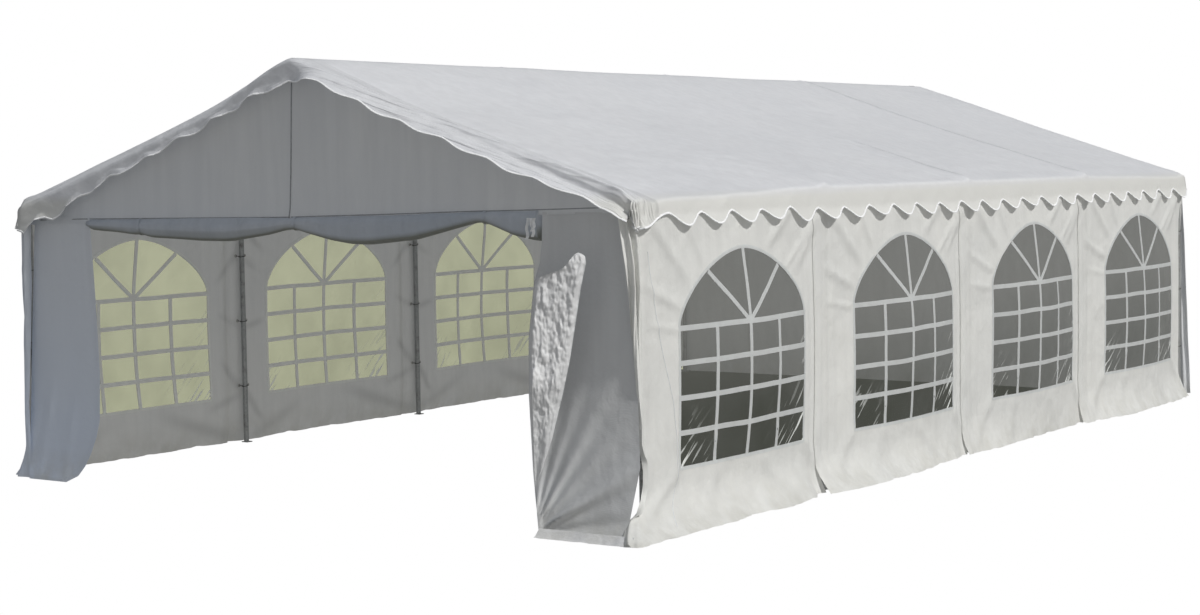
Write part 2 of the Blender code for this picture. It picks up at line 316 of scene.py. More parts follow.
def steel_look(name):
    """Galvanized tube: dull zinc with a faint spangle and darker scuffs."""
    look = Look(name)
    cells = look.node("ShaderNodeTexVoronoi", Vector=look.place, Scale=90.0).outputs["Distance"]
    base = look.mix(look.remap(cells, 0.0, 0.6, 0.0, 1.0), (0.30, 0.31, 0.31), (0.42, 0.43, 0.43))
    scuff = look.patches(14, 6, 0.52, 0.72, to_high=0.8, roughness=0.7)
    base = look.mix(scuff, base, (0.16, 0.155, 0.14))
    rough = look.patches(30, 5, to_low=0.34, to_high=0.58)
    return look.finish(look.surface(base, rough, look.bump(look.noise(160, 3), 0.0002), Metallic=0.75))


def plain_look(name, colour, worn, rough_low, rough_high, grain=60.0):
    """Binding, seams, rubber and plated bolts: two tones, uneven gloss and a fine grain."""
    look = Look(name)
    base = look.mix(look.patches(grain * 0.2, 4, 0.35, 0.65), colour, worn)
    rough = look.patches(grain, 3, to_low=rough_low, to_high=rough_high)
    return look.finish(look.surface(base, rough, look.bump(look.noise(grain * 3, 3), 0.0003)))


# Painted light: the roof cloth's bluish cast is sky light, and its warmer, greyer tone under 1.85 m, on the
# valances, is side light.
ROOF_CLOTH_PAINTED_LIGHT = cloth_look("roof_cloth", (0.86, 0.868, 0.893), (0.83, 0.84, 0.87), 0.22, 0.9,
                        below=(1.85, (0.80, 0.80, 0.775)), front_pleats=True)
# The wall cloth paints shade along the crease lines that its pieces store.
WALL_CLOTH = cloth_look("wall_cloth", (0.88, 0.88, 0.85), (0.84, 0.845, 0.825), 0.265, 1.7, painted_crease_shade=True)
# The end cloth is a darker, bluer copy of the white wall cloth: painted shade, with a painted bluish shade
# towards the lower left.
END_CLOTH_PAINTED_SHADE = cloth_look("end_cloth_painted_shade", (0.79, 0.80, 0.805), (0.74, 0.755, 0.775), 0.15, 1.1,
                       painted_shade_tint=(0.73, 0.80, 0.92))
# A still darker copy of the end cloth: painted shade for the right front panel.
RIGHT_PANEL_PAINTED_SHADE_CLOTH = cloth_look("right_panel_cloth_painted_shade", (0.68, 0.69, 0.695), (0.64, 0.65, 0.66), 0.14, 1.1)
FLAP_CLOTH = cloth_look("flap_cloth", (0.80, 0.80, 0.81), (0.74, 0.75, 0.76), 0.12, 1.7)
# The roll's cloth is a darker, bluer copy of the white cloth, painted shade, with painted shade on faces that
# look down.
ROLL_CLOTH_PAINTED_SHADE = cloth_look("roll_cloth_painted_shade", (0.60, 0.64, 0.70), (0.50, 0.55, 0.62), 0.10, 3.0,
                        painted_underside_shade=(0.22, 0.23, 0.20))
BAR_TAPE = cloth_look("white_vinyl_tape", (0.84, 0.86, 0.86), (0.79, 0.81, 0.81), 0.38, 0.2)
# A lighter copy of the bar tape, with less light coming through, for the left windows: its lighter colour is
# painted light.
LEFT_TAPE_PAINTED_LIGHT = cloth_look("left_vinyl_tape_painted_light", (0.93, 0.94, 0.90), (0.88, 0.89, 0.85), 0.04, 0.2)
FILM = film_look("window_film")
STEEL = steel_look("galvanized_steel")
BINDING = plain_look("white_binding", (0.92, 0.93, 0.94), (0.86, 0.87, 0.88), 0.45, 0.6, 120.0)
# Dark strips along the seams: painted shadow lines.
SEAM_SHADOW_LINE = plain_look("seam_shadow_tape", (0.36, 0.37, 0.39), (0.28, 0.29, 0.31), 0.6, 0.75, 150.0)
SEAM_WELD = plain_look("seam_weld", (0.70, 0.71, 0.72), (0.62, 0.63, 0.65), 0.5, 0.65, 150.0)
RUBBER = plain_look("elastic_rubber", (0.10, 0.10, 0.09), (0.05, 0.05, 0.05), 0.45, 0.65)
ZINC_BOLT = plain_look("zinc_bolt", (0.45, 0.44, 0.40), (0.30, 0.29, 0.26), 0.3, 0.5)


# Mesh helpers
def add_piece(name, points, faces, look, slot_name, replaced=(), painted_crease_marks=None, smooth_faces=True):
    """A piece on the tent's one body. painted_crease_marks holds, point by point, the strength of painted
    shade along a wall's creases and of painted highlights along a window film's creases.
    """
    mesh = bpy.data.meshes.new(name)
    mesh.from_pydata([tuple(point) for point in points], [], faces)
    mesh.validate()
    if smooth_faces:
        mesh.shade_smooth()
    mesh.materials.append(look)
    if painted_crease_marks is not None:
        layer = mesh.attributes.new("crease", "FLOAT", "POINT")
        layer.data.foreach_set("value", painted_crease_marks)
    piece = bpy.data.objects.new(name, mesh)
    scene.collection.objects.link(piece)
    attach(piece, "root")
    if replaced:
        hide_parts(*replaced)
    return piece


def grid_faces(columns, rows, flip=False):
    """Quads of a grid whose points run column by column."""
    faces = []
    for column in range(columns - 1):
        for row in range(rows - 1):
            corner = column * rows + row
            quad = (corner, corner + rows, corner + rows + 1, corner + 1)
            faces.append(quad[::-1] if flip else quad)
    return faces


def add_grid(name, columns, rows, place, look, slot_name, replaced=(), flip=False):
    """A sheet from a rectangular grid. place turns two shares between 0 and 1 into a point."""
    points = [place(column / (columns - 1), row / (rows - 1))
              for column in range(columns) for row in range(rows)]
    return add_piece(name, points, grid_faces(columns, rows, flip), look, slot_name, replaced)


def join_rings(faces, first, rings, size, closed=False, flip=False):
    """Adds the quads between rings of points numbered from first. closed joins the last ring to the first."""
    for ring in range(rings if closed else rings - 1):
        low, high = first + ring * size, first + (ring + 1) % rings * size
        for edge in range(size):
            beside = (edge + 1) % size
            quad = (low + edge, low + beside, high + beside, high + edge)
            faces.append(quad[::-1] if flip else quad)


def cap_rings(faces, first, rings, size):
    """Closes the two ends of a row of rings."""
    last = first + (rings - 1) * size
    faces.append(tuple(range(first, first + size))[::-1])
    faces.append(tuple(range(last, last + size)))


def circle(count):
    """Cosine and sine at equal steps round a circle."""
    angles = [2 * math.pi * k / count for k in range(count)]
    return [(math.cos(angle), math.sin(angle)) for angle in angles]


def line_between(start, end, steps):
    return [(start[0] + (end[0] - start[0]) * k / steps, start[1] + (end[1] - start[1]) * k / steps)
            for k in range(steps + 1)]


def ribbon_parts(line, width, thickness, surface, parts):
    """Adds a thin strip of box section that follows a line drawn on a surface.

    line holds (a, b) places, and surface turns (a, b, lift) into a point.
    """
    points, faces = parts
    first = len(points)
    for number, (a, b) in enumerate(line):
        before, after = line[max(0, number - 1)], line[min(len(line) - 1, number + 1)]
        run = (after[0] - before[0], after[1] - before[1])
        length = math.hypot(*run) or 1.0
        side = (-run[1] / length * width / 2, run[0] / length * width / 2)
        for share, lift in ((-1, 0.0), (-1, thickness), (1, thickness), (1, 0.0)):
            points.append(surface(a + side[0] * share, b + side[1] * share, lift))
    join_rings(faces, first, len(line), 4)
    cap_rings(faces, first, len(line), 4)


def tube_parts(path, radius, sides, parts, closed=False):
    """Adds a round tube along a path of 3-D points."""
    points, faces = parts
    first, count = len(points), len(path)
    up = Vector((0, 0, 1))
    for number, point in enumerate(path):
        if closed:
            ahead, behind = path[(number + 1) % count], path[number - 1]
        else:
            ahead, behind = path[min(count - 1, number + 1)], path[max(0, number - 1)]
        run = (Vector(ahead) - Vector(behind)).normalized()
        guide = up if abs(run.dot(up)) < 0.9 else Vector((1, 0, 0))
        across = run.cross(guide).normalized()
        other = run.cross(across)
        for cosine, sine in circle(sides):
            points.append(Vector(point) + (across * cosine + other * sine) * radius)
    join_rings(faces, first, count, sides, closed)
    if not closed:
        cap_rings(faces, first, count, sides)


# Camera at the photograph's angle
CAMERA_PLACE = (9.328, -14.176, 2.096)
CAMERA_YAW, CAMERA_PITCH, CAMERA_ROLL = 35.075, -3.887, -0.897
CAMERA_LENS = 67.97


def make_camera():
    data = bpy.data.cameras.new("photo_camera")
    data.lens = CAMERA_LENS
    data.sensor_width = 36.0
    data.clip_end = 500.0
    camera = bpy.data.objects.new("photo_camera", data)
    scene.collection.objects.link(camera)
    camera.matrix_world = (
        Matrix.Translation(CAMERA_PLACE)
        @ Matrix.Rotation(math.radians(CAMERA_YAW), 4, "Z")
        @ Matrix.Rotation(math.radians(90 + CAMERA_PITCH), 4, "X")
        @ Matrix.Rotation(math.radians(CAMERA_ROLL), 4, "Z")
    )
    scene.camera = camera


# Stage
SUN_WAY = (1.0, -0.005, 0.91)
SUN_STRENGTH = 2.53
SUN_SPREAD = 3.0
SUN_COLOUR = (1.0, 0.985, 0.955)
FILL_WAY = (1.0, -0.37, 0.20)
FILL_STRENGTH = 0.30
FILL_SPREAD = 50.0
FILL_COLOUR = (1.0, 0.97, 0.92)
FLOOR_HALF = 120.0
WHITE = (1, 1, 1)
BEHIND_FILM = (0.94, 0.97, 0.66)
PATCH_MARGIN = 0.13
# Painted shade of the ground under the roof, seen only through the window film.
INSIDE_GROUND_PAINTED_SHADE = (0.030, 0.032, 0.022)
SKY_LOW = (0.265, 0.265, 0.26, 1)
SKY_HIGH = (0.255, 0.275, 0.31, 1)


def aim_light(name, way, strength, spread, colour):
    data = bpy.data.lights.new(name, "SUN")
    data.energy = strength
    data.angle = math.radians(spread)
    data.color = colour
    lamp = bpy.data.objects.new(name, data)
    scene.collection.objects.link(lamp)
    lamp.matrix_world = Vector(way).to_track_quat("Z", "Y").to_matrix().to_4x4()


def white_or_toned(look, tone):
    """White, and the tone for a ray that has come through a window film."""
    rays = look.node("ShaderNodeLightPath").outputs
    return look.mix(look.math("GREATER_THAN", rays["Transparent Depth"], 0.5), WHITE, tone)


def make_world():
    """Soft light from all round, and a white background."""
    look = Look("studio", bpy.data.worlds.new("studio"))
    height = look.axis("Z", look.coordinates["Generated"])
    ramp = look.node("ShaderNodeValToRGB", Fac=height)
    low, high = ramp.color_ramp.elements
    low.color = SKY_LOW
    high.color = SKY_HIGH
    high.position = 0.8
    light = look.node("ShaderNodeBackground", Color=ramp.outputs[0])
    seen = look.node("ShaderNodeBackground", Color=white_or_toned(look, BEHIND_FILM))
    direct = look.node("ShaderNodeLightPath").outputs["Is Camera Ray"]
    scene.world = look.finish(look.blend(direct, light, seen), "ShaderNodeOutputWorld")


def make_floor():
    """A pale floor that takes no shadow, with a patch under the roof whose painted shade shows only behind
    the window film.
    """
    for name, half_x, half_y, height, tone in (
        ("studio_floor", FLOOR_HALF, FLOOR_HALF, -0.002, BEHIND_FILM),
        ("floor_painted_shade_under_roof", WALL_X + PATCH_MARGIN, END_Y + PATCH_MARGIN, -0.001, INSIDE_GROUND_PAINTED_SHADE),
    ):
        mesh = bpy.data.meshes.new(name)
        corners = ((-half_x, -half_y), (half_x, -half_y), (half_x, half_y), (-half_x, half_y))
        mesh.from_pydata([(x, y, height) for x, y in corners], [], [(0, 1, 2, 3)])
        look = Look(name)
        mesh.materials.append(look.finish(look.node("ShaderNodeEmission", Color=white_or_toned(look, tone))))
        floor = bpy.data.objects.new(name, mesh)
        scene.collection.objects.link(floor)
        floor.visible_diffuse = False
        floor.visible_glossy = False
        floor.visible_transmission = False
        floor.visible_shadow = False


def make_stage():
    """White background, pale floor, a soft sun from the right and a broad fill beside it."""
    make_world()
    make_floor()
    aim_light("soft_sun", SUN_WAY, SUN_STRENGTH, SUN_SPREAD, SUN_COLOUR)
    aim_light("broad_fill", FILL_WAY, FILL_STRENGTH, FILL_SPREAD, FILL_COLOUR)
    scene.view_settings.view_transform = "Standard"


# Roof cloth with its hanging valances, one sheet
ROOF_COLUMNS, ROOF_ROWS = 128, 250
GABLE_STEP = 2 * HALF_WIDTH / ROOF_COLUMNS
EAVE_STEP = 2 * ROOF_END / ROOF_ROWS
EDGE_X = HALF_WIDTH - GABLE_STEP
EAVE_LINE = 2.47
BAND_ROWS = 26
FAN_COLUMNS = 27
EAVE_LOBES, GABLE_LOBES = 25, 16
FIRST_NOTCH = 2 * ROOF_END / EAVE_LOBES - ROOF_END

# Along Y: how far the cloth is lifted at the eaves, and the height of the notches between their lobes
EAVE_LIFT = ((-4.1, 0.004), (-3.4, 0.012), (-2.9, 0.024), (-2.2, 0.044), (-1.3, 0.038), (0.0, 0.036),
             (1.8, 0.034), (3.0, 0.015), (3.9, 0.0))
EAVE_CUSP = ((-4.1, 1.762), (-2.4, 1.758), (-2.1, 1.743), (-0.9, 1.740), (-0.4, 1.732), (4.1, 1.732))

# Along X: how far the front valance's hem hangs down left of the ridge, and where it is turned up, with
# the reach and the share of that
LEFT_HEM = ((-2.5, 0.18), (-2.38, 0.225), (-2.27, 0.17), (-2.12, 0.230), (-1.96, 0.185), (-1.6, 0.140),
            (-1.25, 0.130), (-1.05, 0.105), (-0.75, 0.110), (-0.5, 0.110), (-0.38, 0.150), (-0.28, 0.140),
            (-0.05, 0.185), (0.2, 0.18))
TURNED_UP = ((-2.30, 0.07, 1.0), (-1.95, 0.05, 0.7), (-1.68, 0.04, 0.6), (-1.40, 0.09, 1.0),
             (-1.18, 0.06, 1.0), (-0.92, 0.10, 0.7), (-0.62, 0.07, 1.0), (-0.33, 0.09, 1.0),
             (-0.10, 0.07, 0.8))

# Along X, right of the ridge: length and angle of the front valance's steep part
RIGHT_STEEP = ((0.0, 0.0), (0.35, 0.008), (0.9, 0.022), (1.5, 0.036), (1.9, 0.050), (2.2, 0.066),
               (2.4, 0.070), (2.5, 0.060))
RIGHT_ANGLE = ((0.0, 12), (0.3, 18), (0.7, 26), (1.2, 40), (1.8, 66), (2.3, 84), (2.5, 88))

# How high the cloth stands over each inner arch, and how far along the eave its pull lines reach
ARCH_RIDGES = (0.0035, 0.0045, 0.0065)
PULL_REACHES = (-0.85, -0.45, -0.2, 0.25, 0.6, 0.95)
PULL_SPAN = 2.46


def roof_height(x):
    """Height of the roof's upper face, slightly rounded over the ridge."""
    return RIDGE - SLOPE * math.sqrt(x * x + 0.0004) - 0.001


def roof_rise(x, y):
    """How far the roof cloth stands above its plane: sag between arches, pull lines and soft creases."""
    across = clamp(abs(x) / PULL_SPAN)
    side = 1 if x > 0 else -1
    sag = math.sin(math.pi * (y + 4.0) / BAY) ** 2 if abs(y) < 4.0 else 0.0
    rise = -0.015 * sag * math.sin(math.pi * clamp(across, 0.02, 0.98)) ** 0.7
    for arch, height in zip(ARCHES[1:-1], ARCH_RIDGES):
        rise += height * bell(y - arch, 0.030)
    rise += 0.004 * wobble(x * 1.1, y * 0.9, 4.0 + side) + 0.0018 * wobble(x * 4.0, y * 2.6, 9.0 + side)
    rise += between(EAVE_LIFT, y, eased=True) * smooth((across - 0.35) / 0.65)
    rise += 0.046 * clamp((4.1 - y) / 8.2) ** 1.2 * (1 - smooth(across / 0.35))
    eave_waves = 0.007 * wobble(y * 1.1, x * 5.0, 13.0 + side) + 0.005 * wobble(y * 2.9, x * 9.0, 17.0 + side)
    rise += smooth((across - 0.76) / 0.24) * eave_waves
    for number, arch in enumerate(ARCHES):
        for reach in PULL_REACHES:
            end = (1.65 + 0.35 * wobble(number * 3.3, reach * 4, 5.0), arch + reach)
            rise += 0.0045 * fold(abs(x), y, (EAVE_LINE, arch), end, 0.035)
    if side > 0:
        rise += 0.034 * smooth(x / 0.7) * smooth((EAVE_LINE - x) / 0.12) * bell(y + 4.07, 0.085)
        rise -= 0.010 * smooth(x / 0.3) * bell(y + 3.90, 0.05)
    elif y < -4.0:
        rise -= 0.055 * smooth((-x - 0.1) / 0.6) * smooth((-4.012 - y) / 0.07)
    return rise


def band_profile(styles, length):
    """Runs of (outward, down) for a strip that bends over an edge. styles gives its angle at each length."""
    out, down = 0.0, 0.0
    rows = [(0.0, 0.0)]
    fine = 8
    step = length / ((BAND_ROWS - 1) * fine)
    for row in range(1, BAND_ROWS):
        for part in range(fine):
            reached = ((row - 1) * fine + part + 0.5) * step
            angle = math.radians(between(styles, reached))
            out += math.cos(angle) * step
            down += math.sin(angle) * step
        rows.append((out, down))
    return rows


def lobe_share(place, half, count):
    """0 at the notch between two lobes of a scalloped hem, 1 at a lobe's tip."""
    return (0.5 - 0.5 * math.cos(2 * math.pi * count * (place + half) / (2 * half))) ** 0.8


def lobe_number(place, half, count):
    return math.floor((place + half) / (2 * half) * count)


def eave_column(y, side):
    """Profile of the eave valance at y, and how far its hem slips sideways."""
    lobe = lobe_share(y, ROOF_END, EAVE_LOBES)
    if side > 0 and y < FIRST_NOTCH:
        lobe = smooth((FIRST_NOTCH - y) / 0.30)
    lean = wobble(lobe_number(y, ROOF_END, EAVE_LOBES) * 3.7, 1.0, 21.0 + side)
    drop = max(0.03, roof_height(EDGE_X) + roof_rise(side * EDGE_X, y) - between(EAVE_CUSP, y))
    length = 0.012 + drop + 0.078 * lobe * (1 + 0.25 * lean) + 0.005 * wobble(y * 3, 0, 31.0 + side)
    hem = 66 + 12 * wobble(y * 1.9, side, 23.0) + 20 * lean
    if side > 0:
        styles = ((0.0, math.degrees(SLOPE_ANGLE)), (0.036, 78), (drop, 86), (drop + 0.03, hem))
    else:
        styles = ((0.0, 62), (0.03, 88), (drop, 88), (drop + 0.03, 0.4 * hem + 50))
    return band_profile(styles, length), 0.010 * (0.5 + lean) * lobe


def gable_column(x, end):
    """Profile and slip of a gable valance at x. Right of the ridge, the front one flares in a steep fold."""
    lobe = lobe_share(x, HALF_WIDTH, GABLE_LOBES)
    lean = wobble(lobe_number(x, HALF_WIDTH, GABLE_LOBES) * 2.9, 2.0, 41.0 + end)
    drop = between(LEFT_HEM, x if end < 0 else -abs(x) * 0.3 - 0.8)
    length = max(0.075, drop - 0.030) + 0.030 * lobe + 0.005 * wobble(x * 3, 0, 45.0 + end)
    turned_up = max(share * bell(x - place, reach) for place, reach, share in TURNED_UP) if end < 0 else 0.0
    length += 0.018 * turned_up
    curl = 86 - 46 * turned_up
    styles = ((0.0, 28 if end < 0 else 6), (0.055, 86), (length - 0.056, 88), (length - 0.040, curl))
    hang = band_profile(styles, length)
    share = smooth((x + 0.02) / 0.28) if end < 0 else 0.0
    if share == 0.0:
        return hang, 0.006 * lean * lobe
    steep, angle = between(RIGHT_STEEP, x), between(RIGHT_ANGLE, x)
    flat = 30 + 8 * wobble(x * 1.7, 0, 43.0)
    angle += 7 * wobble(x * 3.1, 0, 44.0)
    crease = (0.75 + 0.5 * wobble(x * 2.3, 0, 46.0)) * smooth((x - 0.5) / 0.9)
    styles = ((0.0, 8), (0.012, 8), (0.028, angle), (0.028 + 0.35 * steep, angle - 34 * crease),
              (0.028 + 0.60 * steep, angle + 16 * crease), (0.028 + steep, angle), (0.050 + steep, flat),
              (0.30, flat - 6))
    flat_length = 0.082 - 0.040 * smooth((x - 1.7) / 0.6)
    flare = band_profile(styles, 0.050 + steep + flat_length + 0.030 * lobe)
    return [(a + (c - a) * share, b + (d - b) * share) for (a, b), (c, d) in zip(hang, flare)], 0.0


def fan_column(side, end, share):
    """Profile and slip of a gathered corner, share of the way from the eave (0) to the gable (1)."""
    ripple = math.sin(share * 2 * math.pi * 3.6 + side + 2 * end)
    length = 0.118 + 0.022 * math.sin(math.pi * share) + 0.012 * math.sin(share * 17 + side)
    start = math.degrees(math.atan(SLOPE * (1 - share)))
    if side < 0:
        styles = ((0.0, 62), (0.03, 86 - 8 * ripple), (0.2, 86 - 12 * ripple))
    elif end > 0:
        styles = ((0.0, start + 14), (0.022, 84 - 24 * ripple), (0.075, 92 + 22 * ripple),
                  (0.2, 80 - 20 * ripple))
    else:
        length += 0.048 * smooth((1 - share) / 0.5)
        styles = ((0.0, start + 10), (0.035, 56 - 14 * ripple), (0.075, 92 + 24 * ripple),
                  (0.2, 92 - 26 * ripple))
    return band_profile(styles, length), 0.014 * math.sin(share * 19 + end)


def roof_columns(xs, ys):
    """The columns of the band that hangs all round the roof, from the front end of the right eave.

    Each has its start in the roof's grid, its way out, and its profile with the slip of its hem.
    """
    columns = []

    def index(i, j):
        return i * len(ys) + j

    def add_fan(side, end):
        start = index(len(xs) - 1 if side > 0 else 0, len(ys) - 1 if end > 0 else 0)
        for k in range(1, FAN_COLUMNS):
            share = k / FAN_COLUMNS if side == end else 1 - k / FAN_COLUMNS
            angle = math.pi / 2 * share
            way = (side * math.cos(angle), end * math.sin(angle))
            columns.append((start, way, fan_column(side, end, share)))

    for side in (1, -1):
        i, j = (len(xs) - 1, len(ys) - 1) if side > 0 else (0, 0)
        for number in range(len(ys))[::side]:
            columns.append((index(i, number), (side, 0), eave_column(ys[number], side)))
        add_fan(side, side)
        for number in range(len(xs))[::-side]:
            columns.append((index(number, j), (0, side), gable_column(xs[number], side)))
        add_fan(-side, side)
    return columns


def make_roof():
    """The roof cloth: a grid over both slopes, and the band that hangs from its edges all round."""
    xs = [-HALF_WIDTH + GABLE_STEP * i for i in range(1, ROOF_COLUMNS)]
    ys = [-ROOF_END + EAVE_STEP * j for j in range(1, ROOF_ROWS)]
    points = [(x, y, roof_height(x) + roof_rise(x, y)) for x in xs for y in ys]
    faces = grid_faces(len(xs), len(ys))
    tops, starts, hems = [], [], []
    for top, way, (profile, slip) in roof_columns(xs, ys):
        x, y, z = points[top]
        tops.append(top)
        starts.append(len(points))
        for row, (out, down) in enumerate(profile[1:], 1):
            share = row / (BAND_ROWS - 1)
            out += 0.0035 * wobble(x * 7 + way[0] * 3, y * 7 + share * 2.2, 51.0) * smooth(share * 2)
            aside = slip * share ** 2
            points.append((x + way[0] * out - way[1] * aside, y + way[1] * out + way[0] * aside, z - down))
        hems.append(len(points) - 1)
    for number, (top, first) in enumerate(zip(tops, starts)):
        after = (number + 1) % len(tops)
        second = starts[after]
        faces.append((top, first, second) if tops[after] == top else (top, first, second, tops[after]))
        for row in range(BAND_ROWS - 2):
            faces.append((first + row, first + row + 1, second + row + 1, second + row))
    roof = add_piece(
        "roof_sheet", points, faces, ROOF_CLOTH_PAINTED_LIGHT, "roof_cloth",
        ("roof_left", "roof_right", "eave_valance_left", "eave_valance_right", "gable_valance_front",
         "gable_valance_rear"),
    )
    make_valance_binding([Vector(points[hem]) for hem in hems], [Vector(points[hem - 1]) for hem in hems])
    make_roof_welds()


BINDING_BELOW, BINDING_ABOVE, BINDING_HALF = 0.002, 0.010, 0.0016


def make_valance_binding(hem_line, row_above):
    """The binding folded over the hem of the valances, a short box from each point of the hem to the next."""
    points, faces = [], []
    ups = [(above - hem).normalized() for hem, above in zip(hem_line, row_above)]
    for number, start in enumerate(hem_line):
        after = (number + 1) % len(hem_line)
        run = (hem_line[after] - start).normalized()
        face_out = run.cross(ups[number]).normalized() * BINDING_HALF
        first = len(points)
        for place in (number, after):
            low = hem_line[place] - ups[place] * BINDING_BELOW
            high = hem_line[place] + ups[place] * BINDING_ABOVE
            points.extend((low - face_out, high - face_out, high + face_out, low + face_out))
        join_rings(faces, first, 2, 4)
    add_piece("valance_binding", points, faces, BINDING, "roof_cloth")


def make_roof_welds():
    """A weld line over the fourth arch from ridge to eave, and a short one over the middle arch."""
    def surface(x, y, lift):
        return (x, y, roof_height(x) + roof_rise(x, y) + 0.0012 + lift)

    parts = ([], [])
    for side in (-1, 1):
        straight = line_between((side * 0.03, 2.03), (side * 2.42, 2.03), 90)
        weld = [(x, y + 0.012 * wobble(x * 1.5, side, 57.0)) for x, y in straight]
        ribbon_parts(weld, 0.011, 0.0012, surface, parts)
        short = line_between((side * 1.55, 0.03), (side * 2.42, 0.04), 40)
        ribbon_parts(short, 0.006, 0.0008, surface, parts)
    add_piece("roof_weld_lines", *parts, SEAM_WELD, "roof_cloth", smooth_faces=False)


# Long walls, whose cloth may reach REACH_LIMIT on X
PANEL_RINGS = 22
REACH_LIMIT = 2.652
LAP = 0.035
SKIRT_HEIGHT = 0.26
REAR_GATHER = 3.86

# Along Y: how far each long wall's foot spreads on the ground
SKIRTS = {
    1: ((-4.03, 0.178), (-3.3, 0.150), (-3.05, 0.125), (-2.73, 0.160), (-2.42, 0.150), (-2.20, 0.060),
        (-1.92, 0.178), (-1.6, 0.165), (-1.3, 0.140), (-0.85, 0.115), (-0.45, 0.080), (-0.13, 0.045),
        (0.15, 0.095), (0.7, 0.050), (1.3, 0.015), (1.72, 0.020), (2.1, 0.080), (2.56, 0.130), (3.2, 0.080),
        (3.6, 0.105), (4.03, 0.090)),
    -1: ((-4.03, 0.150), (-3.7, 0.080), (-3.2, 0.035), (-2.5, 0.050), (-2.0, 0.025), (-1.2, 0.055),
         (-0.5, 0.030), (0.4, 0.060), (1.3, 0.030), (2.0, 0.065), (2.8, 0.040), (3.5, 0.070), (4.03, 0.080)),
}

# Upright folds beside each seam: height, distance behind the seam, width, share of the seam's drift
SEAM_FOLDS = ((0.010, 0.075, 0.035, 0), (-0.006, -0.045, 0.025, 0), (0.008, 0.245, 0.022, 1),
              (-0.005, 0.19, 0.03, 1))

# Creases of the left wall beside a leg's ties: from, to (distance along the wall, height), width, strength
LEG_CREASES = (
    ((0.03, 1.62), (0.27, 1.42), 0.024, 0.9),
    ((-0.03, 1.40), (-0.24, 1.20), 0.026, 0.6),
    ((0.03, 1.38), (0.22, 1.28), 0.022, 0.5),
    ((0.03, 0.86), (0.28, 0.90), 0.024, 0.7),
    ((-0.03, 0.88), (-0.22, 0.97), 0.022, 0.5),
    ((-0.03, 0.42), (-0.20, 0.62), 0.026, 0.8),
    ((0.03, 0.40), (0.24, 0.14), 0.028, 0.9),
    ((-0.03, 0.36), (-0.34, 0.27), 0.028, 0.6),
    ((-0.06, 0.04), (-0.80, 0.27), 0.050, 0.8),
    ((0.10, 0.03), (0.70, 0.25), 0.045, 0.5),
)


def leg_crease(y, z):
    """Strength of the creases beside the nearest leg at a place of the left wall."""
    arch = min(ARCHES, key=lambda place: abs(y - place))
    shift = 0.03 * wobble(arch * 1.7, 0.4, 55.0)
    return sum(strength * fold(y - arch, z + shift, start, end, width)
               for start, end, width, strength in LEG_CREASES)


def billow(number, offset, z):
    """How far a window panel bulges out at a distance from its middle and at a height."""
    reach = abs(offset) / 0.97
    if reach >= 1:
        return 0.0
    if number == 0:
        depth, middle, above, below = 0.074, 0.95, 0.52, 0.66
    else:
        depth, middle, above, below = 0.084, 0.85, 0.68, 0.90
    share = abs(z - middle) / (above if z > middle else below)
    return depth * math.exp(-share ** 2.3) * math.cos(math.pi / 2 * reach) ** 1.2


# How strongly the window folds stand out and, on the right wall, how much painted shade darkens the cloth
# beside them
FOLD_STRENGTH = 1.8
FOLD_PAINTED_SHADE = 45


def window_folds(number, seed):
    """Creases that run from a window to the corners of its panel: from, to, height and width."""
    hash_a, hash_b = wobble(number * 5.3, 1.1, seed + 5), wobble(number * 3.1, 7.7, seed + 6)
    return (
        ((-0.62, 1.42), (-1.0, 1.80 + 0.05 * hash_a), 0.007, 0.040),
        ((0.62, 1.42), (1.0, 1.78 + 0.05 * hash_b), 0.007, 0.040),
        ((-0.45, 1.50), (-0.62, 1.80), 0.005, 0.028),
        ((-0.70, 1.25), (-1.02, 1.38), 0.006, 0.032),
        ((-0.72, 1.12), (-0.98, 1.16), 0.004, 0.022),
        ((0.30, 1.56), (0.65, 1.80), 0.006, 0.035),
        ((0.50, 1.42), (0.78, 1.62), 0.005, 0.022),
        ((-0.70, 0.34), (-1.0, 0.05), 0.006, 0.050),
        ((0.70, 0.34), (1.02, 0.03), 0.006, 0.050),
        ((0.2 + 0.2 * hash_a, 0.30), (0.45 + 0.3 * hash_b, 0.02), 0.005, 0.055),
        ((-0.3 + 0.2 * hash_b, 0.31), (-0.5 + 0.2 * hash_a, 0.02), 0.004, 0.055),
    )


def wall_seed(side):
    """Seed of a long wall's noise."""
    return 60.0 + 7 * side


def crease_shade_strength(side, number, y, z):
    """How much painted shade darkens a long wall's cloth along its crease lines at a place."""
    if side < 0:
        return clamp(leg_crease(y, z))
    return clamp(sum(
        FOLD_PAINTED_SHADE * height * fold(y - WINDOW_CENTRES[number], z + 0.7 * width, start, end, 0.8 * width)
        for start, end, height, width in window_folds(number, wall_seed(side))
    ))


